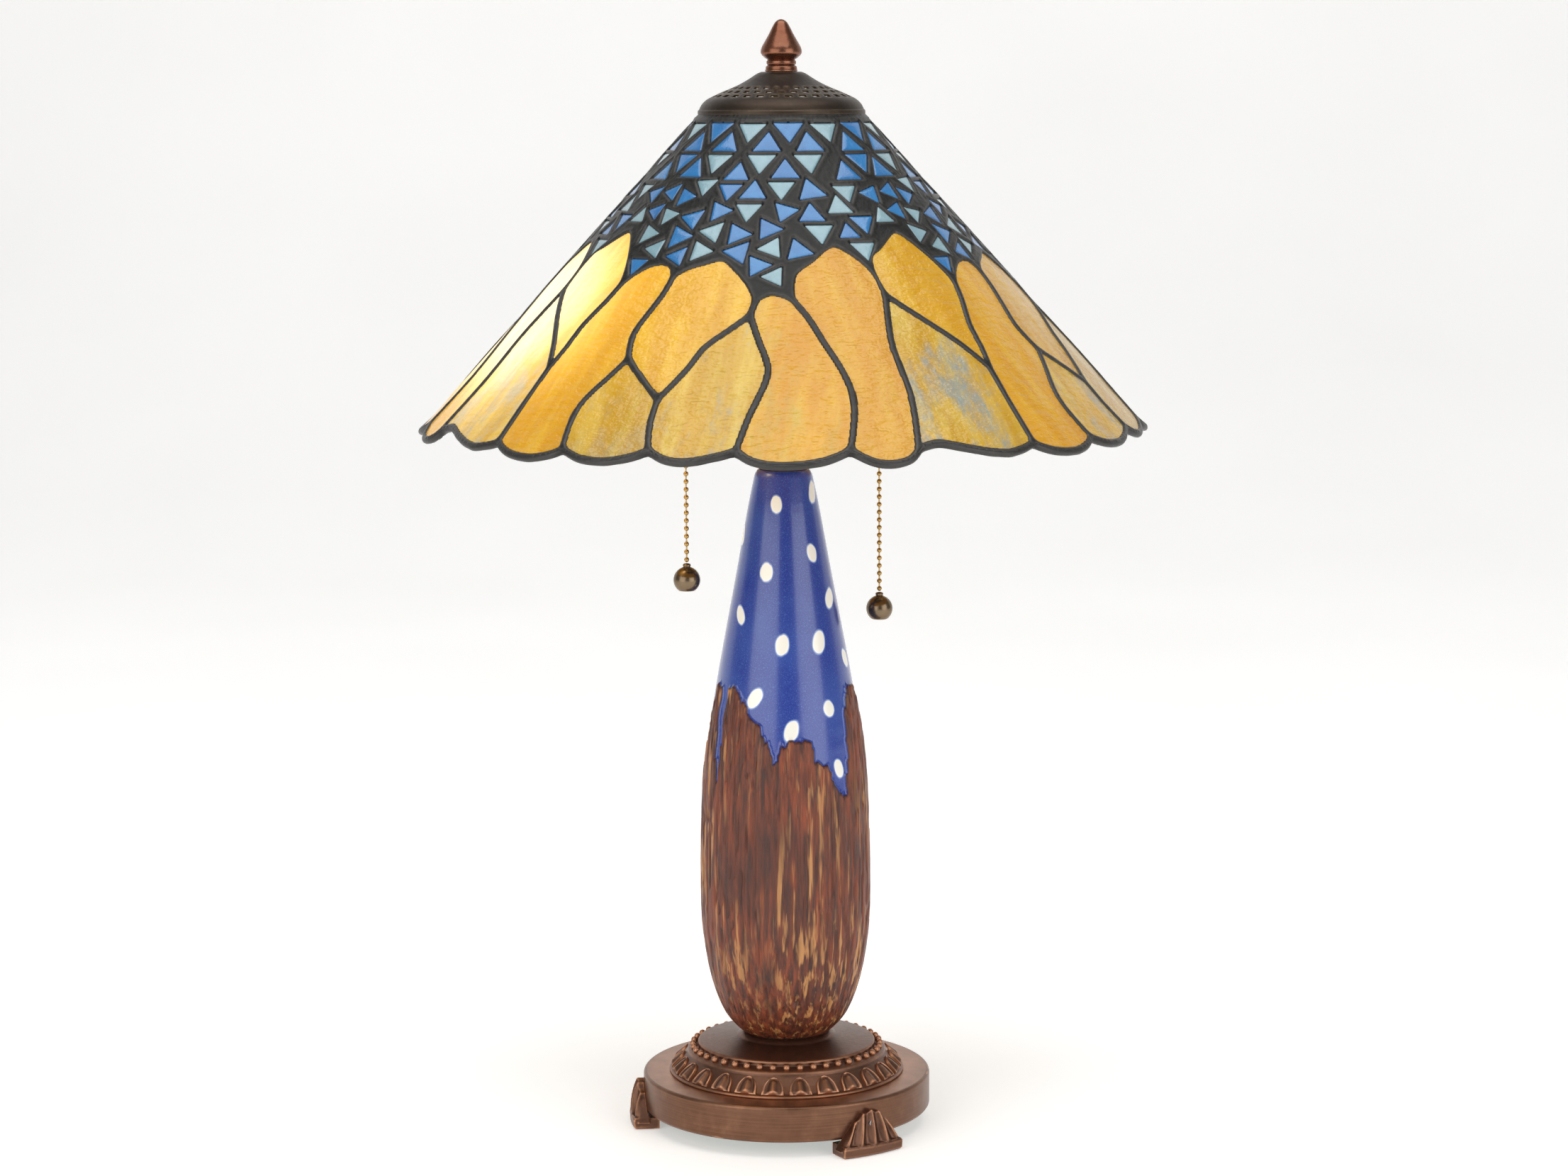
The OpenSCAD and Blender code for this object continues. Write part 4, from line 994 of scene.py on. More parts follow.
@dataclass
class Shade:
    """The soldered shade: panes, leading, rim bead and top band."""

    glass_face: float = 1.2 * MM
    glass_t: float = 2.6 * MM
    wall: float = 5.0 * MM
    rim_width: float = 4.4 * MM
    columns: int = 1200
    row: float = 1.0 * MM
    lead_height: float = 1.15 * MM
    lap: float = 0.22 * MM
    crest: float = 1.9 * MM
    mesh_gap: float = 3.2 * MM
    jewel_grow: float = 1.07
    cone: Cone = field(default_factory=Cone)
    panes: dict[str, list[Pane]] = field(default_factory=dict)

    def read(self) -> None:
        """Reads the cone and every pane's outline from the frame."""
        self.cone = Cone.of_leading()
        for node in ("upper_petal_glass", "lower_petal_glass", "tall_petal_glass",
                     "bright_jewels", "pale_jewels"):
            jewel = node.endswith("jewels")
            self.panes[node] = [self._pane(loop, jewel) for loop in outer_loops(node, self.cone)]
            LOG.info("%s: %d panes", node, len(self.panes[node]))

    def _pane(self, loop: np.ndarray, jewel: bool) -> Pane:
        """Makes a pane from its outline in space."""
        centre = loop.mean(0)
        middle = math.degrees(math.atan2(centre[0], -centre[1]))
        spots = self.cone.unrolled(loop)
        spots[:, 0] = (spots[:, 0] - middle + 180) % 360 - 180 + middle
        x, y = self.cone.flat(spots[:, 0], spots[:, 1], middle)
        flat = np.stack([x, y], 1)
        if jewel:
            flat = flat.mean(0) + (flat - flat.mean(0)) * self.jewel_grow
        flat = rounded_loop(flat, 1.5 * MM if jewel else 3.0 * MM, 4 if jewel else 3)
        return Pane(middle, flat, jewel)

    def _petal(self, pane: Pane, seed: int) -> tuple[np.ndarray, list, np.ndarray]:
        """One curved, wavy petal as vertices, faces and flow coordinates."""
        rng = np.random.default_rng(seed)
        low, high = pane.outline.min(0), pane.outline.max(0)
        gx, gy = np.meshgrid(np.arange(low[0], high[0], self.mesh_gap),
                             np.arange(low[1], high[1], self.mesh_gap))
        x = gx.ravel() + rng.uniform(-0.3, 0.3, gx.size) * self.mesh_gap
        y = gy.ravel() + rng.uniform(-0.3, 0.3, gx.size) * self.mesh_gap
        inner = pane.distance(x, y) < -0.5 * self.mesh_gap
        pts = np.concatenate([pane.outline, np.stack([x[inner], y[inner]], 1)])
        n = len(pane.outline)
        edges = [(i, (i + 1) % n) for i in range(n)]
        out, _, tris, _, _, _ = geometry.delaunay_2d_cdt([Vector(p) for p in pts], edges, [], 1, 1e-7)
        flat = np.array([tuple(v) for v in out])
        edge_gap = -pane.distance(flat[:, 0], flat[:, 1])
        az, s = self.cone.curled(flat[:, 0], flat[:, 1], pane.middle)
        wave = lattice_noise(flat[:, 0] / 0.011 + seed * 7, flat[:, 1] / 0.016, seed % 97)
        fine = lattice_noise(flat[:, 0] / 0.0045, flat[:, 1] / 0.006 + seed, seed % 89)
        lift = (0.22 * wave + 0.1 * fine) * MM * smooth_step(edge_gap, 0, 4 * MM)
        front = self.cone.placed(az, s, self.glass_face - lift)
        back = self.cone.placed(az, s, self.glass_face + self.glass_t - 0.6 * lift)
        count = len(flat)
        faces = [tuple(t) for t in tris] + [tuple(count + i for i in reversed(t)) for t in tris]
        used: dict[tuple[int, int], int] = {}
        for t in tris:
            for a, b in zip(t, list(t[1:]) + [t[0]]):
                used[(a, b)] = 1
        for a, b in used:
            if (b, a) not in used:
                faces.append((b, a, count + a, count + b))
        lean = rng.uniform(-0.12, 0.12)
        shift = rng.uniform(-2, 2)
        flow = np.stack([flat[:, 0] + lean * flat[:, 1] + shift, flat[:, 1] + shift,
                         np.full(count, shift)], 1)
        return np.concatenate([front, back]), faces, np.concatenate([flow, flow])

    def _jewel(self, pane: Pane) -> tuple[np.ndarray, list, np.ndarray]:
        """One pillowed jewel as vertices, faces and how near each vertex is to the rim."""
        centre = pane.outline.mean(0)
        face, back = self.glass_face, self.glass_face + self.glass_t
        rings = [(1.0, back, 0.9), (1.0, face + 0.9 * MM, 1.0), (0.93, face + 0.25 * MM, 0.9),
                 (0.84, face, 0.5), (0.6, face - 0.12 * MM, 0.1), (0.3, face - 0.16 * MM, 0.0)]
        verts, faces, rim = [], [], []
        n = len(pane.outline)
        for k, (size, depth, near) in enumerate(rings):
            q = centre + (pane.outline - centre) * size
            az, s = self.cone.curled(q[:, 0], q[:, 1], pane.middle)
            verts.append(self.cone.placed(az, s, np.full(n, depth)))
            rim += [near] * n
            if k:
                faces += [((k - 1) * n + i, (k - 1) * n + (i + 1) % n, k * n + (i + 1) % n, k * n + i)
                          for i in range(n)]
        faces.append(tuple(range((len(rings) - 1) * n, len(rings) * n)))
        faces.append(tuple(reversed(range(n))))
        return np.concatenate(verts), faces, np.array(rim)

    def build_glass(self, node: str, finish: Finish, seed: int) -> None:
        """Builds one CAD node's panes as one piece.

        Args:
            node: The CAD node.
            finish: The finish of its glass.
            seed: Seed of its waves and tints.
        """
        verts, faces, flow, tint, rim = [], [], [], [], []
        start = 0
        rng = np.random.default_rng(seed)
        for k, pane in enumerate(self.panes[node]):
            if pane.jewel:
                v, f, near = self._jewel(pane)
                rim.append(near)
            else:
                v, f, run = self._petal(pane, seed + k)
                flow.append(run)
            verts.append(v)
            faces += [tuple(i + start for i in face) for face in f]
            tint.append(np.full(len(v), rng.uniform()))
            start += len(v)
        piece = make_piece(f"{node}_panes", np.concatenate(verts), faces)
        keep_creases(piece, 60)
        paint(piece, "pane", np.concatenate(tint))
        if rim:
            paint(piece, "rim", np.concatenate(rim))
        if flow:
            layer = piece.data.attributes.new("flow", "FLOAT_VECTOR", "POINT")
            layer.data.foreach_set("vector", np.concatenate(flow).astype(np.float32).ravel())
        settle(piece, "shade", finish.material(), [node])

    def _field(self) -> tuple[np.ndarray, np.ndarray, np.ndarray]:
        """Distance to the nearest pane over the whole unrolled cone.

        Returns:
            The azimuths, the slants, and the distances by slant and azimuth.
        """
        az = np.arange(self.columns) * 360 / self.columns
        s = np.arange(-0.8 * MM, self.cone.slant + 4 * MM, self.row)
        gap = np.full((len(s), self.columns), 12 * MM)
        margin = 9 * MM
        for panes in self.panes.values():
            for pane in panes:
                a, t = self.cone.curled(pane.outline[:, 0], pane.outline[:, 1], pane.middle)
                wide = math.degrees(margin / (self.cone.top_r + max(t.min(), 0) * 0.67))
                i0 = int((a.min() - wide) / 360 * self.columns)
                i1 = int((a.max() + wide) / 360 * self.columns) + 1
                rows = np.where((s > t.min() - margin) & (s < t.max() + margin))[0]
                cols = np.arange(i0, i1)
                x, y = self.cone.flat((cols * 360 / self.columns)[None, :], s[rows][:, None],
                                      pane.middle)
                near = pane.distance(x, y)
                block = np.ix_(rows, cols % self.columns)
                gap[block] = np.minimum(gap[block], near)
        return az, s, gap

    def build_leading(self) -> None:
        """Builds the soldered network and the bead along the rim."""
        az, s, gap = self._field()
        rim = np.zeros(self.columns)
        for j in range(self.columns):
            past = np.where((gap[:, j] < 0))[0]
            last = past[-1]
            beyond = np.where(gap[last:, j] > self.rim_width)[0]
            i = last + (beyond[0] if len(beyond) else 0)
            g0, g1 = gap[i - 1, j], gap[i, j]
            rim[j] = s[i - 1] + self.row * (self.rim_width - g0) / max(g1 - g0, 1e-9)
        for _ in range(3):
            rim = (np.roll(rim, 1) + 2 * rim + np.roll(rim, -1)) / 4
        rim = np.minimum(rim, self.cone.slant - 0.2 * MM)
        self._network(az, s, gap, rim)
        self._bead(az, rim)

    def _network(self, az: np.ndarray, s: np.ndarray, gap: np.ndarray, rim: np.ndarray) -> None:
        """Builds the lead lines between the panes."""
        a2, s2 = np.meshgrid(az, s)
        u = a2 / 360 * 300
        lump = lattice_noise(u, s2 / 0.0045, 5, 300) * 0.55
        lump = lump + lattice_noise(a2 / 360 * 800, s2 / 0.0017, 6, 256) * 0.25
        t = np.clip((gap + self.lap) / self.crest, 0, 1)
        dome = np.sqrt(np.clip(1 - (1 - t) ** 2, 0, 1)) * self.lead_height
        dome = np.where(gap < -self.lap, (gap + self.lap) * 0.5, dome)
        wide = smooth_step(gap, 1.6 * MM, 4.0 * MM)
        outer = self.glass_face - dome + (0.16 + 0.12 * lump + 0.25 * wide) * MM * t
        outer = np.clip(outer, 0.02 * MM, None)
        inner = self.glass_face + self.glass_t + dome * 0.95 - 0.1 * lump * MM * t
        inner = np.clip(inner, None, self.wall - 0.05 * MM)
        solid = gap > -self.lap - 0.6 * MM
        solid &= s2 < rim[None, :] - 1.6 * MM
        cell = solid[:-1] & solid[1:] & np.roll(solid, -1, 1)[:-1] & np.roll(solid, -1, 1)[1:]
        verts = [self.cone.placed(a2.ravel(), s2.ravel(), d.ravel()) for d in (outer, inner)]
        total = a2.size
        rows, cols = np.where(cell)
        nxt = (cols + 1) % self.columns
        c = self.columns
        quads = np.stack([rows * c + cols, rows * c + nxt, (rows + 1) * c + nxt,
                          (rows + 1) * c + cols], 1)
        faces = [tuple(q) for q in quads.tolist()]
        faces += [tuple(total + i for i in reversed(q)) for q in quads.tolist()]
        above = np.vstack([np.zeros((1, c), bool), cell[:-1]])
        below = np.vstack([cell[1:], np.zeros((1, c), bool)])
        for mask, i, k in ((cell & ~above, 0, 1), (cell & ~np.roll(cell, -1, 1), 1, 2),
                           (cell & ~below, 2, 3), (cell & ~np.roll(cell, 1, 1), 3, 0)):
            r, q = np.where(mask)
            ring = np.stack([r * c + q, r * c + (q + 1) % c, (r + 1) * c + (q + 1) % c,
                             (r + 1) * c + q], 1)
            faces += [(a, total + a, total + b, b) for a, b in ring[:, [i, k]].tolist()]
        used = np.zeros(2 * total, bool)
        for face in faces:
            used[list(face)] = True
        number = np.cumsum(used) - 1
        points = np.concatenate(verts)[used]
        faces = [tuple(int(number[i]) for i in face) for face in faces]
        piece = make_piece("shade_network", points, faces)
        settle(piece, "shade", SOLDER.material(), LEADING)

    def _bead(self, az: np.ndarray, rim: np.ndarray) -> None:
        """Builds the rounded solder bead that follows the scallops."""
        sides = 12
        step = 2
        az, rim = az[::step], rim[::step]
        n = len(az)
        verts = []
        middle_depth = self.wall / 2
        half_w, half_t = self.rim_width / 2, self.wall / 2 - 0.25 * MM
        noise = lattice_noise(np.arange(n) / n * 200, np.zeros(n), 11, 200)
        fine = lattice_noise(np.arange(n) / n * 256, np.ones(n), 12, 256)
        size = 0.93 + 0.05 * noise + 0.02 * fine
        for k in range(sides):
            a = 2 * math.pi * k / sides
            s = rim - half_w + half_w * math.cos(a) * size
            depth = middle_depth + half_t * math.sin(a) * size
            verts.append(self.cone.placed(az, s, depth))
        faces = [(k * n + i, k * n + (i + 1) % n, (k + 1) % sides * n + (i + 1) % n,
                  (k + 1) % sides * n + i) for k in range(sides) for i in range(n)]
        piece = make_piece("rim_bead", np.concatenate(verts), faces)
        settle(piece, "shade", SOLDER.material())

    def build_band(self) -> None:
        """Builds the soldered band at the top of the cone."""
        low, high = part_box("top_band")
        outer = high.x
        inner = outer - 2 * MM
        outline = eased([(inner, low.z), (outer, low.z), (outer, high.z), (inner, high.z)], 0.6 * MM)
        band = lathe("top_band_ring", outline + [outline[0]], 160,
                     lambda a, z: -0.12 * MM * (1 + math.sin(a * 31 + z * 900)))
        settle(band, "shade", SOLDER.material(), ["top_band"])


@dataclass
class Cap:
    """The vented cap and the finial above it."""

    wall: float = 1.4 * MM
    vents: int = 30
    rows: int = 3
    first_vent: float = 0.0262
    last_vent: float = 0.0425

    def outline(self) -> list[Point]:
        """The cap's outer line, as radius and height, from the middle out."""
        low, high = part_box("shade_cap")
        r, z0, h = high.x, low.z, high.z - low.z
        return bent([(0.24 * r, z0 + h), (0.295 * r, z0 + 0.955 * h), (0.365 * r, z0 + 0.865 * h),
                     (0.45 * r, z0 + 0.765 * h), (0.55 * r, z0 + 0.665 * h),
                     (0.68 * r, z0 + 0.56 * h), (0.79 * r, z0 + 0.465 * h),
                     (0.885 * r, z0 + 0.37 * h), (0.945 * r, z0 + 0.265 * h),
                     (0.975 * r, z0 + 0.165 * h), (0.985 * r, z0 + 0.11 * h)], 4)

    def build(self) -> None:
        """Builds the cap's skin with its lattice of diamond vents, and its rolled lip."""
        low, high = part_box("shade_cap")
        line = np.array(self.outline())
        radii = line[:, 0]
        between = int(self.vents)
        inner = [q for q in line if q[0] < self.first_vent]
        outer = [q for q in line if q[0] > self.last_vent]
        cells = 4
        per_row = cells
        steps = np.linspace(self.first_vent, self.last_vent, self.rows * per_row + 1)
        rows = [tuple(q) for q in inner]
        rows += [(r, float(np.interp(r, radii, line[:, 1]))) for r in steps]
        rows += [tuple(q) for q in outer]
        first = len(inner)
        segments = between * 2 * cells
        verts, faces = [], []
        for r, z in rows:
            a = 2 * np.pi * np.arange(segments) / segments
            verts.append(np.stack([r * np.sin(a), -r * np.cos(a), np.full(segments, z)], 1))
        for i in range(len(rows) - 1):
            for k in range(segments):
                if self._open(i - first, k, cells):
                    continue
                faces.append((i * segments + k, i * segments + (k + 1) % segments,
                              (i + 1) * segments + (k + 1) % segments, (i + 1) * segments + k))
        skin = make_piece("cap_skin", np.concatenate(verts), faces)
        thick = skin.modifiers.new("wall", "SOLIDIFY")
        thick.thickness = self.wall
        thick.offset = -1
        soft = skin.modifiers.new("soft", "SMOOTH")
        soft.iterations = 2
        soft.factor = 0.4
        apply_all(skin)
        lip_r = high.x
        lip = eased([(lip_r - 2.2 * MM, low.z), (lip_r, low.z), (lip_r, low.z + 3.0 * MM),
                     (lip_r - 2.2 * MM, low.z + 3.4 * MM)], 1.2 * MM, 6)
        ring = lathe("cap_lip", lip + [lip[0]], 192)
        hub_r = 0.25 * lip_r
        hub = eased([(5.0 * MM, high.z - self.wall), (hub_r, high.z - self.wall), (hub_r, high.z),
                     (5.0 * MM, high.z)], 0.4 * MM, 3)
        disc = lathe("cap_disc", hub + [hub[0]], 96)
        cap = joined("vented_cap", [skin, ring, disc])
        keep_creases(cap, 50)
        settle(cap, "shade", BRONZE.material(), ["shade_cap"])

    def _open(self, row: int, column: int, cells: int) -> bool:
        """Whether one small cell of the cap's skin lies in a diamond vent."""
        if row < 0 or row >= self.rows * cells:
            return False
        ring, up = divmod(row, cells)
        across = (column + (ring % 2) * cells) % (2 * cells)
        x = abs(across + 0.5 - cells) / cells
        y = abs(up + 0.5 - cells / 2) / (cells / 2)
        return x + y < 0.86

    def build_finial(self) -> None:
        """Builds the turned finial."""
        low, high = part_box("finial")
        h, r = high.z - low.z, high.x
        z = low.z
        line = [(0.0, z + 0.02 * h), (0.72 * r, z), (0.76 * r, z + 0.05 * h), (0.74 * r, z + 0.10 * h),
                (0.66 * r, z + 0.125 * h), (0.71 * r, z + 0.15 * h), (0.71 * r, z + 0.2 * h),
                (0.66 * r, z + 0.225 * h), (0.78 * r, z + 0.26 * h), (0.94 * r, z + 0.32 * h),
                (r * 0.995, z + 0.38 * h), (0.94 * r, z + 0.47 * h), (0.76 * r, z + 0.6 * h),
                (0.59 * r, z + 0.72 * h), (0.44 * r, z + 0.84 * h), (0.28 * r, z + 0.945 * h),
                (0.12 * r, z + 0.99 * h), (0.0, z + h)]
        piece = lathe("turned_finial", bent(line, 5), 96)
        settle(piece, "finial", ANTIQUE.material(), ["finial"])


# ---------------------------------------------------------------- the column


@dataclass
class Column:
    """The glazed ceramic column with its carved bark and milk spots."""

    around: int = 540
    up: int = 460
    spot_w: float = 3.7 * MM
    spot_h: float = 6.2 * MM
    # Milk spots on the front: azimuth and share of the column's height.
    spots: tuple[Point, ...] = (
        (-12, 0.945), (-82, 0.886), (62, 0.963), (40, 0.860), (-22, 0.829), (60, 0.779),
        (-52, 0.752), (-2, 0.706), (35, 0.708), (72, 0.672), (-25, 0.614), (38, 0.593),
        (-72, 0.535), (5, 0.559), (43, 0.488))

    def build(self) -> None:
        """Builds the column's skin and paints its masks."""
        low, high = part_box("ceramic_column")
        z = np.linspace(low.z, high.z, self.up)
        az = np.arange(self.around) * 360 / self.around
        reach = self._measured(az, z)
        floor = reach.min(1)
        relief = float(np.percentile(reach.max(1) - floor, 96))
        top_bark = z[np.where(reach.max(1) - floor > relief / 2)[0][-1]]
        low_glaze = z[np.where(reach.max(1) - floor > relief / 2)[0][0]]
        glaze = np.where(z < low_glaze, floor - relief, floor)
        for _ in range(6):
            glaze[1:-1] = (glaze[:-2] + 2 * glaze[1:-1] + glaze[2:]) / 4
        a2, z2 = np.meshgrid(az, z)
        mask = ((reach - glaze[:, None]) > relief * 0.5).astype(float)
        mask[z > top_bark] = 0
        mask[z < low_glaze] = 1
        mask = self._frayed(mask, a2, z2)
        spot = self._spots(a2, z2, low.z, high.z - low.z) * (1 - mask)
        arc = a2 / 360
        cuts = lattice_noise(arc * 170, z2 / 0.016 + 2 * lattice_noise(arc * 40, z2 / 0.03, 8, 40), 3, 170)
        small = lattice_noise(arc * 250, z2 / 0.008, 4, 250)
        groove = np.clip(-(cuts * 0.8 + small * 0.35), 0, 1)
        inner = mask * smooth_step(mask, 0.6, 1.0)
        radius = glaze[:, None] + mask * (relief - 0.1 * MM) - inner * groove * 1.3 * MM
        radius += spot * 0.12 * MM
        radius = np.minimum(radius, (glaze + relief)[:, None])
        radius[-6:] -= np.linspace(0, 1.2, 6)[:, None] ** 2 * MM
        radius[:5] -= np.linspace(1.2, 0, 5)[:, None] ** 2 * MM
        # The edge layer marks the bark's raised border, where the finish paints a shadow line in umber.
        self._raise(a2, z2, radius, low, high,
                    {"bark": mask, "spot": spot, "groove": groove * inner,
                     "edge": smooth_step(mask, 0.05, 0.5) * (1 - smooth_step(mask, 0.75, 1.0))})

    def _measured(self, az: np.ndarray, z: np.ndarray) -> np.ndarray:
        """Radius of the CAD column at every azimuth and height."""
        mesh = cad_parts["ceramic_column"].data
        tree = BVHTree.FromPolygons([v.co for v in mesh.vertices],
                                    [tuple(p.vertices) for p in mesh.polygons])
        far = 0.2
        step = 3
        coarse = az[::step]
        out = np.zeros((len(z), len(coarse)))
        for j, a in enumerate(np.radians(coarse)):
            way = Vector((math.sin(a), -math.cos(a), 0))
            for i, height in enumerate(z):
                hit = tree.ray_cast(way * far + Vector((0, 0, float(height))), -way)
                out[i, j] = far - hit[3] if hit[3] is not None else np.nan
        out[np.isnan(out)] = 0.02
        out[0], out[-1] = out[1], out[-2]
        return np.repeat(out, step, axis=1)[:, :len(az)]

    def _frayed(self, mask: np.ndarray, a2: np.ndarray, z2: np.ndarray) -> np.ndarray:
        """Roughens the bark's edge and softens it over about a millimetre."""
        dz = z2[1, 0] - z2[0, 0]
        push_z = lattice_noise(a2 / 360 * 90, z2 / 0.02, 21, 90) * 2.6 * MM
        push_z += lattice_noise(a2 / 360 * 256, z2 / 0.006, 22, 256) * 1.2 * MM
        push_a = lattice_noise(a2 / 360 * 60, z2 / 0.012, 23, 60) * 2.2
        i = np.clip(np.round((z2 + push_z - z2[0, 0]) / dz).astype(int), 0, self.up - 1)
        j = np.round((a2 + push_a) / 360 * self.around).astype(int) % self.around
        out = mask[i, j]
        for _ in range(2):
            out = (np.roll(out, 1, 1) + np.roll(out, -1, 1) + 2 * out) / 4
            out[1:-1] = (out[:-2] + 2 * out[1:-1] + out[2:]) / 4
        return out

    def _spots(self, a2: np.ndarray, z2: np.ndarray, base: float, height: float) -> np.ndarray:
        """How much of a milk spot lies at each point."""
        out = np.zeros(a2.shape)
        behind = [((a + 154) % 360, share + 0.018) for a, share in self.spots if abs(a) < 80]
        wave = lattice_noise(a2 / 360 * 120, z2 / 0.004, 31, 120)
        for k, (a, share) in enumerate(list(self.spots) + behind):
            if share > 0.975:
                continue
            middle = base + share * height
            r = 0.0166 + (1 - share) * 0.047
            x = ((a2 - a + 180) % 360 - 180) * math.pi / 180 * r
            size = 0.88 + 0.24 * ((k * 37) % 11) / 11
            lean = 0.25 * math.sin(k * 2.3)
            y = z2 - middle
            gap = np.hypot((x + lean * y) / (self.spot_w * size), y / (self.spot_h * size))
            gap = gap + 0.05 * wave + 0.05 * np.sin(np.arctan2(y, x) * 2 + k)
            out = np.maximum(out, 1 - smooth_step(gap, 0.7, 1.22))
        return out

    def _raise(self, a2: np.ndarray, z2: np.ndarray, radius: np.ndarray, low: Vector, high: Vector,
               layers: dict[str, np.ndarray]) -> None:
        """Turns the grid of radii into the column's mesh, closed at both ends."""
        a = np.radians(a2)
        verts = np.stack([radius * np.sin(a), -radius * np.cos(a), z2], 2).reshape(-1, 3)
        n, rows = self.around, self.up
        faces = [(i * n + k, i * n + (k + 1) % n, (i + 1) * n + (k + 1) % n, (i + 1) * n + k)
                 for i in range(rows - 1) for k in range(n)]
        hole = 5.8 * MM
        ends = []
        for z in (low.z, high.z):
            ring = a[0]
            ends.append(np.stack([hole * np.sin(ring), -hole * np.cos(ring), np.full(n, z)], 1))
        start = len(verts)
        last = (rows - 1) * n
        faces += [(k, start + k, start + (k + 1) % n, (k + 1) % n) for k in range(n)]
        faces += [(last + k, last + (k + 1) % n, start + n + (k + 1) % n, start + n + k)
                  for k in range(n)]
        faces += [(start + k, start + n + k, start + n + (k + 1) % n, start + (k + 1) % n)
                  for k in range(n)]
        piece = make_piece("glazed_column", np.concatenate([verts, *ends]), faces)
        for name, values in layers.items():
            paint(piece, name, np.concatenate([values.ravel(), np.zeros(2 * n)]))
        settle(piece, "stand", GlazedBark().material(), ["ceramic_column"])


# ---------------------------------------------------------------- the base


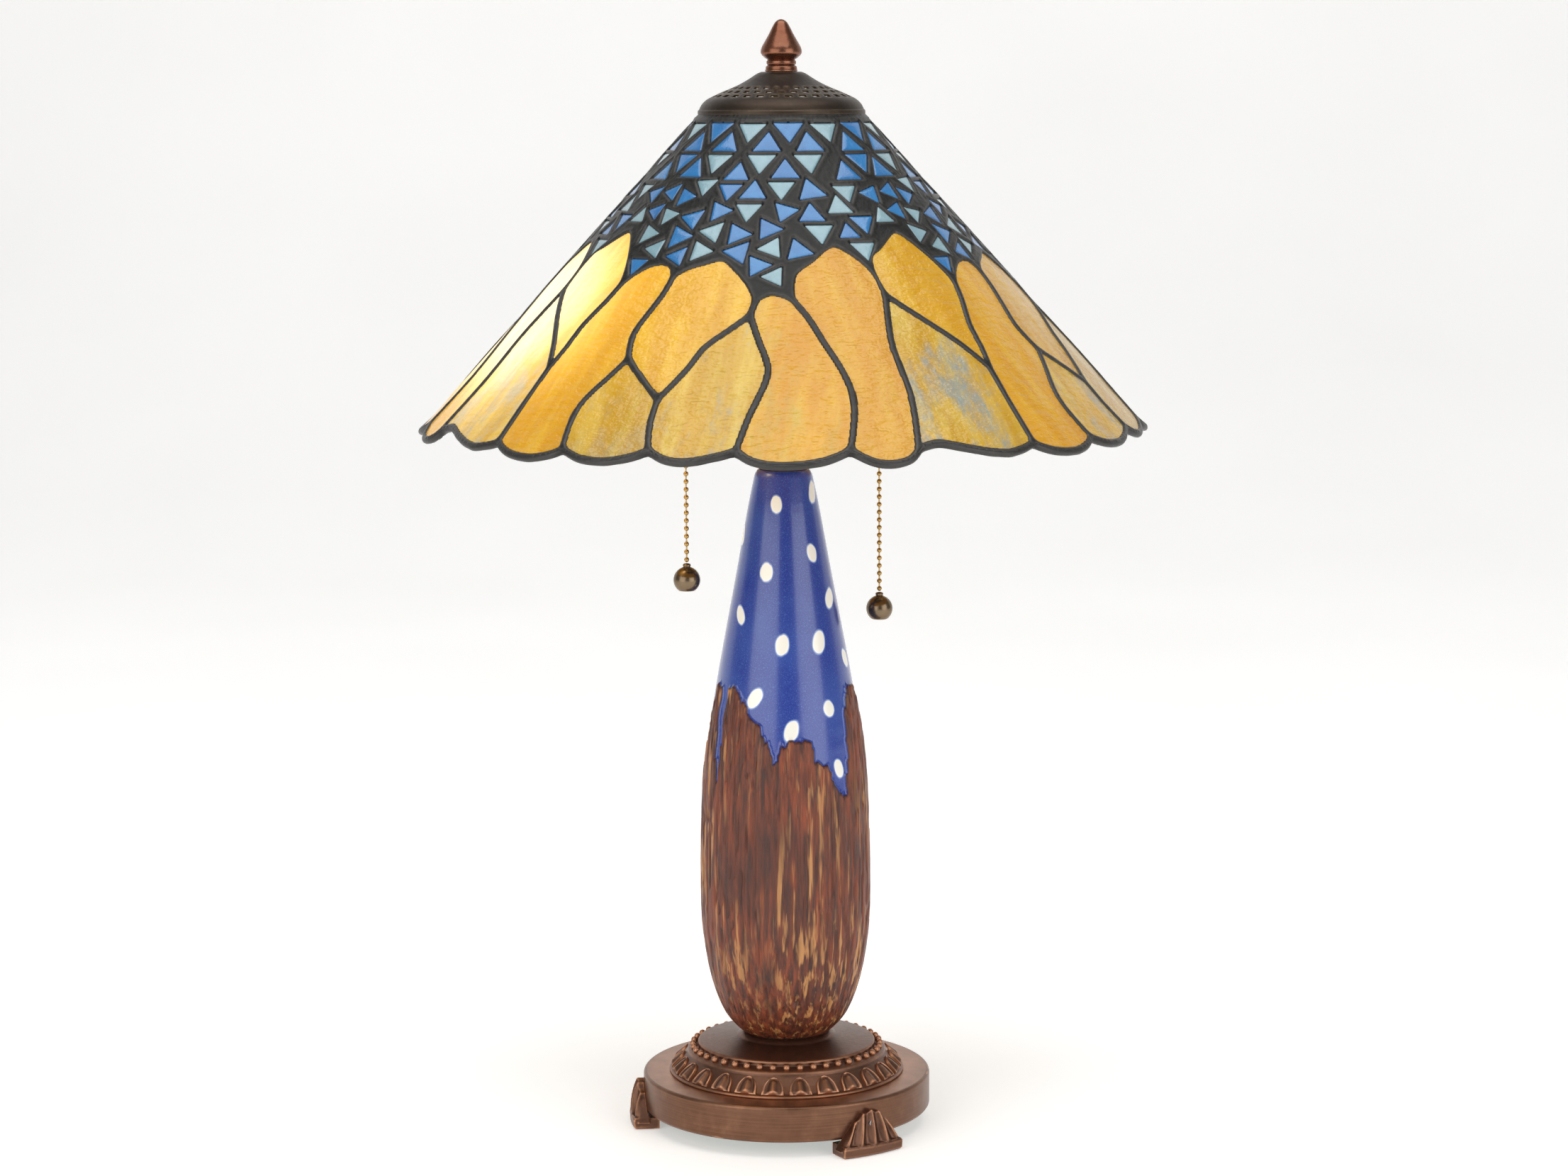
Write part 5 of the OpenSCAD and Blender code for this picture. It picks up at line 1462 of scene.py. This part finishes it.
@dataclass
class Base:
    """The turned plate, the cast plinth and the three paw feet."""

    tongues: int = 26
    beads: int = 44
    bead_r: float = 2.05 * MM
    foot_out: float = 9 * MM

    def build_plate(self) -> None:
        """Builds the brushed round plate."""
        low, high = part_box("base_plate")
        r, z0, z1 = high.x, low.z, high.z
        wall = 2.5 * MM
        hole = 21 * MM
        outer = eased([(hole, z1), (r - 1.2 * MM, z1), (r, z1 - 1.2 * MM), (r, z0 + 1.4 * MM),
                       (r - 1.2 * MM, z0), (r - wall, z0), (r - wall, z1 - wall),
                       (hole, z1 - wall)], 0.9 * MM, 5)
        plate = lathe("turned_plate", outer + [outer[0]], 256)
        keep_creases(plate, 50)
        settle(plate, "stand", COPPER.material(), ["base_plate"])

    def build_plinth(self) -> None:
        """Builds the plinth with its disc, bead row and tongue band."""
        low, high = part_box("base_plinth")
        r, z0, top = high.x, low.z, high.z
        disc = (53.9 * MM, top - 5.5 * MM)
        line = [(5.2 * MM, top), (26.4 * MM, top), (28.5 * MM, top - 1.2 * MM),
                (30 * MM, top - 2.4 * MM), (disc[0] - 1.0 * MM, disc[1]),
                (disc[0], disc[1] - 0.8 * MM), (disc[0] - 0.3 * MM, disc[1] - 3.0 * MM),
                (58.6 * MM, disc[1] - 4.4 * MM), (60.2 * MM, disc[1] - 5.4 * MM),
                (60.6 * MM, disc[1] - 7.2 * MM), (61.6 * MM, disc[1] - 8.2 * MM),
                (65.0 * MM, z0 + 6.2 * MM), (r - 2.2 * MM, z0 + 2.4 * MM), (r, z0 + 1.4 * MM),
                (r, z0), (r - 3 * MM, z0), (56 * MM, z0 + 7 * MM), (50 * MM, z0 + 12 * MM),
                (5.2 * MM, z0 + 12 * MM)]
        line = eased(line, 1.0 * MM, 4)
        body = lathe("plinth_body", line + [line[0]], 256)
        parts = [body]
        for k in range(self.beads):
            a = 2 * math.pi * k / self.beads
            parts.append(self._bead(a, 56.7 * MM, disc[1] - 3.0 * MM))
        for k in range(self.tongues):
            parts.append(self._tongue(2 * math.pi * (k + 0.5) / self.tongues, z0, disc[1]))
        plinth = joined("cast_plinth", parts)
        keep_creases(plinth, 55)
        settle(plinth, "stand", CASTING.material(), ["base_plinth"])

    def _bead(self, a: float, r: float, z: float) -> bpy.types.Object:
        """One bead of the bead row."""
        bm = bmesh.new()
        bmesh.ops.create_uvsphere(bm, u_segments=20, v_segments=12, radius=self.bead_r)
        bmesh.ops.translate(bm, verts=bm.verts, vec=(r * math.sin(a), -r * math.cos(a), z))
        mesh = bpy.data.meshes.new("bead")
        bm.to_mesh(mesh)
        bm.free()
        return self._linked("bead", mesh)

    @staticmethod
    def _linked(name: str, mesh: bpy.types.Mesh) -> bpy.types.Object:
        """Puts a mesh into the scene."""
        piece = bpy.data.objects.new(name, mesh)
        bpy.context.scene.collection.objects.link(piece)
        return piece

    def _tongue(self, a: float, z0: float, disc_z: float) -> bpy.types.Object:
        """One raised tongue of the band: a rounded leaf with a raised middle."""
        top_r, top_z = 61.4 * MM, disc_z - 8.0 * MM
        low_r, low_z = 69.6 * MM, z0 + 2.3 * MM
        down = Vector((0, -(low_r - top_r), low_z - top_z))
        length = down.length
        down.normalize()
        out = Vector((0, down.z, -down.y))
        if out.y > 0:
            out = -out
        side = Vector((1, 0, 0))
        start = Vector((0, -top_r, top_z))
        across, along = 18, 22
        half = 0.5 * 2 * math.pi * 66 * MM / self.tongues * 0.84
        verts, faces = [], []
        for i in range(along + 1):
            t = i / along
            width = half * math.sqrt(1 - (1 - min(t / 0.62, 1)) ** 2) * (0.74 + 0.26 * t)
            for k in range(across + 1):
                u = 2 * k / across - 1
                lobe = math.exp(-(u / 0.42) ** 2) * min(t / 0.3, 1) * (0.8 + 1.1 * t)
                rim = 0.75 * max(math.exp(-((abs(u) - 0.9) / 0.13) ** 2), math.exp(-(t / 0.08) ** 2))
                lift = (0.35 + lobe + rim) * MM * min(1.0, 7 * (1 - t) + 0.25)
                p = start + down * (length * t) + side * (width * u) + out * lift
                verts.append(tuple(p))
        stride = across + 1
        for i in range(along):
            for k in range(across):
                faces.append((i * stride + k, i * stride + k + 1, (i + 1) * stride + k + 1,
                              (i + 1) * stride + k))
        n = len(verts)
        base = [tuple(Vector(v) - out * 2.2 * MM) for v in verts]
        border = list(range(stride)) + [i * stride + across for i in range(1, along + 1)]
        border += list(range(along * stride + across - 1, along * stride - 1, -1))
        border += [i * stride for i in range(along - 1, 0, -1)]
        faces += [tuple(n + i for i in reversed(f)) for f in list(faces)]
        for p, q in zip(border, border[1:] + border[:1]):
            faces.append((q, p, n + p, n + q))
        turn = Matrix.Rotation(a, 3, "Z")
        points = np.array([tuple(turn @ Vector(v)) for v in verts + base])
        return make_piece("tongue", points, faces)

    def build_feet(self) -> None:
        """Builds each paw foot in the place of its CAD node."""
        for node in ("front_foot", "back_foot", "left_foot"):
            low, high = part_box(node)
            middle = (low + high) / 2
            a = math.atan2(middle.x, -middle.y)
            foot = self._paw(f"{node}_paw")
            turn = Matrix.Rotation(a, 4, "Z")
            foot.data.transform(turn)
            settle(foot, "stand", CASTING.material(), [node])

    def _paw(self, name: str) -> bpy.types.Object:
        """One paw foot at azimuth 0: a fan of claws over a flat band."""
        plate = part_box("base_plate")[1].x
        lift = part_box("base_plate")[0].z
        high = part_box("front_foot")[1].z
        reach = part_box("front_foot")
        half = 21.5 * MM
        paw = joined(name, [self._fan(plate, high, half), self._band(plate, half)])
        fused(paw, 0.5 * MM, 2)
        inner = plate + 0.05 * MM
        limit = plate + self.foot_out
        for vert in paw.data.vertices:
            r = math.hypot(vert.co.x, vert.co.y)
            size = min(limit / r, 1)
            if vert.co.z > lift - 0.2 * MM and r < inner:
                size = inner / r
            vert.co.x *= size
            vert.co.y *= size
            vert.co.z = min(max(vert.co.z, reach[0].z), high)
        return paw

    def _fan(self, plate: float, high: float, half: float) -> bpy.types.Object:
        """The scooped paw with its raised claws, standing against the plate's wall."""
        foot_z = 4.0 * MM
        rise = high - foot_z - 0.3 * MM
        across, up = 96, 30
        claws = (-0.9, -0.46, 0.0, 0.46, 0.9)
        front, back = [], []
        for i in range(up + 1):
            v = i / up
            for k in range(across + 1):
                u = 2 * k / across - 1
                claw = max(math.exp(-((u - c) / 0.12) ** 2) for c in claws)
                top = 1 - 0.4 * abs(u) ** 2.2 - 0.07 * (1 - claw)
                x = half * u * (1 - 0.34 * v - 0.08 * v * v)
                z = foot_z + rise * top * v
                scoop = 3.4 * math.sin(math.pi * min(v * 0.9 + 0.02, 1) ** 0.9) * (1 - claw)
                depth = (self.foot_out - 0.5 * MM) * (1 - 0.5 * v ** 2.6 - 0.2 * abs(u) ** 5) - scoop * MM
                for rows, d in ((front, depth), (back, -0.6 * MM)):
                    r = plate + d
                    rows.append((x, -math.sqrt(r * r - x * x), z))
        stride = across + 1
        n = len(front)
        faces = [(i * stride + k, i * stride + k + 1, (i + 1) * stride + k + 1, (i + 1) * stride + k)
                 for i in range(up) for k in range(across)]
        faces += [tuple(n + i for i in reversed(f)) for f in list(faces)]
        low_edge = list(range(stride))
        right = [i * stride + across for i in range(up + 1)]
        top_edge = list(range(up * stride + across, up * stride - 1, -1))
        left = [i * stride for i in range(up, -1, -1)]
        border = low_edge + right[1:] + top_edge[1:] + left[1:]
        faces += [(b, a, n + a, n + b) for a, b in zip(border, border[1:])]
        return make_piece("fan", np.array(front + back), faces)

    def _band(self, plate: float, half: float) -> bpy.types.Object:
        """The flat band along the foot's front, which runs back under the plate."""
        steps = 12
        verts = []
        for z, out in ((0.0, -1.6 * MM), (1.2 * MM, -0.3 * MM), (5.6 * MM, 0.0), (7.0 * MM, -0.9 * MM)):
            for k in range(steps + 1):
                x = half * (2 * k / steps - 1) * (0.97 if 1 * MM < z < 6 * MM else 0.93)
                r = plate + self.foot_out - 0.15 * MM + out
                verts.append((x, -math.sqrt(r * r - x * x), z))
            for k in range(steps, -1, -1):
                x = half * 0.9 * (2 * k / steps - 1)
                verts.append((x, -plate + 9 * MM, z))
        ring = 2 * (steps + 1)
        faces = [(i * ring + k, i * ring + (k + 1) % ring, (i + 1) * ring + (k + 1) % ring,
                  (i + 1) * ring + k) for i in range(3) for k in range(ring)]
        faces.append(tuple(reversed(range(ring))))
        faces.append(tuple(range(3 * ring, 4 * ring)))
        return make_piece("band", np.array(verts), faces)

    def build(self) -> None:
        """Builds every piece of the base."""
        self.build_plate()
        self.build_plinth()
        self.build_feet()


# ---------------------------------------------------------------- fittings and chains


@dataclass
class Fittings:
    """The neck ring, the pull chains and the finishes of the pieces that CAD draws well."""

    bead_r: float = 1.5 * MM
    wire_r: float = 0.45 * MM
    pitch: float = 4.5 * MM

    def build_neck(self) -> None:
        """Builds the polished ring on top of the column."""
        low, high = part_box("neck_ring")
        r, z0, z1 = high.x, low.z, high.z
        line = eased([(5.2 * MM, z0), (r - 1.2 * MM, z0), (r, z0 + 0.8 * MM), (r, z1 - 1.9 * MM),
                      (r - 0.7 * MM, z1 - 1.4 * MM), (r - 0.9 * MM, z1 - 0.6 * MM),
                      (r - 2.0 * MM, z1), (5.2 * MM, z1)], 0.5 * MM, 4)
        ring = lathe("turned_neck_ring", line + [line[0]], 128)
        settle(ring, "stand", BRIGHT_COPPER.material(), ["neck_ring"])

    def build_chain(self, side: Side) -> None:
        """Builds one bead chain and its ball.

        Args:
            side: Which socket it hangs from.
        """
        low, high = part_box(f"{side.value}_chain")
        centre = (low + high) / 2
        top, bottom = high.z - self.bead_r, low.z
        count = round((top - bottom) / self.pitch)
        parts = []
        for k in range(count):
            z = top - k * (top - bottom - self.bead_r) / (count - 1)
            parts.append(self._ball("bead", Vector((centre.x, centre.y, z)), self.bead_r, 20))
        wire = bmesh.new()
        bmesh.ops.create_cone(wire, cap_ends=True, segments=12, radius1=self.wire_r,
                              radius2=self.wire_r, depth=top - bottom)
        bmesh.ops.translate(wire, verts=wire.verts, vec=(centre.x, centre.y, (top + bottom) / 2))
        mesh = bpy.data.meshes.new("wire")
        wire.to_mesh(mesh)
        wire.free()
        parts.append(Base._linked("wire", mesh))
        chain = joined(f"{side.value}_bead_chain", parts)
        keep_creases(chain, 50)
        settle(chain, f"{side.value}_chain", OLD_BRASS.material(), [f"{side.value}_chain"])
        self._build_ball(side)

    @staticmethod
    def _ball(name: str, where: Vector, radius: float, segments: int) -> bpy.types.Object:
        """One small ball."""
        bm = bmesh.new()
        bmesh.ops.create_uvsphere(bm, u_segments=segments, v_segments=segments // 2 + 2, radius=radius)
        bmesh.ops.translate(bm, verts=bm.verts, vec=where)
        mesh = bpy.data.meshes.new(name)
        bm.to_mesh(mesh)
        bm.free()
        return Base._linked(name, mesh)

    def _build_ball(self, side: Side) -> None:
        """Builds the turned ball at a chain's end, flat underneath, with a small collar."""
        low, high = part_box(f"{side.value}_ball")
        centre = (low + high) / 2
        r = (high.x - low.x) / 2
        collar = 2.5 * MM
        mid = high.z - (r + 2.1 * MM)
        start = math.asin(max((low.z - mid) / r, -0.97))
        line = [(0.0, low.z)]
        line += [(r * math.cos(t), mid + r * math.sin(t)) for t in np.linspace(start, 1.25, 24)]
        line += [(collar * 0.8, mid + r * 0.99), (collar, mid + r + 0.6 * MM),
                 (collar * 0.9, mid + r + 1.5 * MM), (collar * 0.4, high.z - 0.1 * MM), (0.0, high.z)]
        ball = lathe(f"{side.value}_pull_ball", eased(line, 0.4 * MM, 2), 72)
        ball.data.transform(Matrix.Translation((centre.x, centre.y, 0)))
        settle(ball, f"{side.value}_chain", BALL_BRONZE.material(), [f"{side.value}_ball"])

    def dress(self) -> None:
        """Gives each CAD node that stays visible its finish."""
        brass = OLD_BRASS.material()
        steel = Plain("zinc steel", rgb("8f9294"), rgb("b9bcbd"), 0.3, 1.0).material()
        iron = Plain("raw iron", rgb("2f2e2e"), rgb("4c4844"), 0.7, 0.6, 60.0, 0.0006).material()
        rubber = Plain("black rubber", rgb("191919"), rgb("2a2a29"), 0.7).material()
        board = Plain("pressed board", rgb("6d5b45"), rgb("8b7860"), 0.8).material()
        felt = Plain("felt", rgb("39453a"), rgb("55604f"), 0.95, 0.0, 420.0, 0.0008).material()
        fibre = Plain("insulating paper", rgb("5a4a39"), rgb("78654e"), 0.8).material()
        phenolic = Plain("moulded phenolic", rgb("1b1715"), rgb("2c2622"), 0.35).material()
        tin = Plain("tinned base", rgb("b9b6ae"), rgb("dcd9d2"), 0.25, 1.0).material()
        plain = {
            "base_felt": felt, "bottom_cover": board, "ballast_weight": iron, "foot_screws": steel,
            "cord_bushing": rubber, "stem_nut": brass, "stem_washer": steel, "stem_pipe": brass,
            "column_gasket": rubber, "neck_gasket": rubber, "riser_tube": brass,
            "cluster_body": brass, "top_nipple": brass, "seat_nut": brass, "seat_washer": steel}
        per_side = {"arm": brass, "socket_cap": brass, "socket_shell": brass, "socket_liner": fibre,
                    "switch_body": phenolic, "screw_shell": brass, "contact": BRIGHT_COPPER.material(),
                    "pull_guide": brass, "pull_lever": brass, "bulb_base": tin}
        for side in Side:
            for part, finish in per_side.items():
                plain[f"{side.value}_{part}"] = finish
        for node, finish in plain.items():
            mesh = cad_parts[node].data
            mesh.materials.clear()
            mesh.materials.append(finish)
            LOG.info("%s dressed in %s", node, finish.name)

    def build_bulb(self, side: Side) -> None:
        """Builds one bulb's envelope along its socket.

        Args:
            side: Which socket it sits in.
        """
        node = f"{side.value}_bulb_glass"
        co = points_of(node)
        low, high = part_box(node)
        centre = (np.array(low) + np.array(high)) / 2
        way = np.array([centre[0], centre[1], 0])
        way /= np.linalg.norm(way)
        along = co @ way
        radius = np.linalg.norm(co - np.outer(along, way) - np.array([0, 0, centre[2]]), axis=1)
        start, tip, r = along.min(), along.max(), radius.max()
        neck = 11.8 * MM
        mid = tip - r
        line = [(0.0, start + 0.2 * MM), (neck * 0.9, start), (neck, start + 2 * MM),
                (neck, start + 14 * MM), (neck + 1.2 * MM, start + 18 * MM),
                (r - 3.2 * MM, mid - 11 * MM), (r - 0.3 * MM, mid - 3 * MM)]
        line = bent(line, 4)
        line += [(r * math.cos(t), mid + r * math.sin(t)) for t in np.linspace(0.05, 1.5, 14)]
        line.append((0.0, tip))
        bulb = lathe(f"{side.value}_envelope", line, 72)
        axis = Vector(way)
        turn = Vector((0, 0, 1)).rotation_difference(axis).to_matrix().to_4x4()
        bulb.data.transform(Matrix.Translation((0, 0, float(centre[2]))) @ turn)
        finish = Frosted(f"{side.value} bulb", side is Side.LEFT)
        settle(bulb, f"{side.value}_bulb", finish.material(), [node])

    def build(self) -> None:
        """Builds and dresses every fitting."""
        self.dress()
        self.build_neck()
        for side in Side:
            self.build_chain(side)
            self.build_bulb(side)


# ---------------------------------------------------------------- the studio


@dataclass
class Studio:
    """Pale floor, soft lights and the camera."""

    distance: float = 2.1
    eye: float = 0.6234
    pitch: float = 8.05
    roll: float = 0.3
    lens: float = 81.4

    def build(self) -> None:
        """Builds the floor, the lights and the camera."""
        self._floor()
        self._light("left box", (-1.25, -1.6, 0.9), (2.0, 1.7), 1.75)
        self._light("right box", (1.45, -1.4, 0.9), (1.6, 1.7), 1.9)
        self._light("overhead", (0.0, -0.35, 2.3), (2.4, 2.0), 2.2)
        world = bpy.data.worlds.new("studio")
        world.use_nodes = True
        back = world.node_tree.nodes["Background"]
        back.inputs[0].default_value = (1, 1, 1, 1)
        back.inputs[1].default_value = 0.24
        bpy.context.scene.world = world
        bpy.context.scene.view_settings.view_transform = "Standard"
        self._camera()

    def _floor(self) -> None:
        """Builds the pale floor."""
        wide, behind, rise = 9.0, 2.2, 4.5
        sweep = [(-6.0, 0.0), (behind, 0.0)]
        sweep += [(behind + 1.2 * math.sin(t), 1.2 - 1.2 * math.cos(t))
                  for t in np.linspace(0.1, math.pi / 2, 12)]
        sweep.append((behind + 1.2, rise))
        verts = [(x, y, z - 0.0002) for y, z in sweep for x in (-wide, wide)]
        faces = [(2 * i, 2 * i + 1, 2 * i + 3, 2 * i + 2) for i in range(len(sweep) - 1)]
        floor = make_piece("floor", np.array(verts), faces)
        floor.data.materials.append(Backdrop().material())

    def _light(self, name: str, where: tuple[float, float, float], size: Point,
               radiance: float) -> None:
        """Adds one soft box that faces the lamp."""
        data = bpy.data.lights.new(name, "AREA")
        data.shape = "RECTANGLE"
        data.size, data.size_y = size
        data.energy = radiance * math.pi * size[0] * size[1]
        lamp = bpy.data.objects.new(name, data)
        lamp.location = where
        lamp.rotation_euler = (Vector((0, 0, 0.35)) - Vector(where)).to_track_quat("-Z", "Y").to_euler()
        bpy.context.scene.collection.objects.link(lamp)

    def _camera(self) -> None:
        """Sets the camera at the lamp's viewing angle."""
        data = bpy.data.cameras.new("camera")
        data.lens = self.lens
        data.sensor_width = 36
        camera = bpy.data.objects.new("camera", data)
        tilt = Matrix.Rotation(math.radians(90 - self.pitch), 4, "X")
        camera.matrix_world = (Matrix.Translation((0, -self.distance, self.eye)) @ tilt
                               @ Matrix.Rotation(math.radians(-self.roll), 4, "Z"))
        bpy.context.scene.collection.objects.link(camera)
        bpy.context.scene.camera = camera


# ---------------------------------------------------------------- putting it together


def build_shade() -> None:
    """Builds the whole shade with its glass finishes."""
    shade = Shade()
    shade.read()
    low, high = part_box("left_bulb_glass")
    mid = (low + high) / 2
    out = Vector((mid.x, mid.y, 0)).normalized()
    lamp = tuple(mid + out * 0.045 + Vector((0, 0, 0.012)))
    gold = rgb("ffc21c")
    shade.build_glass("upper_petal_glass",
                      ArtGlass("amber glass", rgb("c18c0c"), rgb("d0a52f"), rgb("8d9479"), gold,
                               lamp, 0.15), 40)
    shade.build_glass("lower_petal_glass",
                      ArtGlass("olive glass", rgb("b1871a"), rgb("c2a444"), rgb("748a92"), gold,
                               lamp, 0.6), 90)
    shade.build_glass("tall_petal_glass",
                      ArtGlass("orange glass", rgb("c0850a"), rgb("ca9c28"), rgb("a39a4c"), gold,
                               lamp, 0.3), 140)
    shade.build_glass("bright_jewels",
                      JewelGlass("bright blue glass", rgb("1a69a6"), rgb("0d4680"), rgb("2f80b8")), 7)
    shade.build_glass("pale_jewels",
                      JewelGlass("pale blue glass", rgb("84a3ac"), rgb("527884"), rgb("7597a2")), 8)
    shade.build_leading()
    shade.build_band()


def main() -> None:
    """Builds the lamp from the studio inwards."""
    logging.basicConfig(level=logging.INFO, format="%(name)s: %(message)s")
    Studio().build()
    build_shade()
    cap = Cap()
    cap.build()
    cap.build_finial()
    Column().build()
    Base().build()
    Fittings().build()


if __name__ == "__main__":
    main()
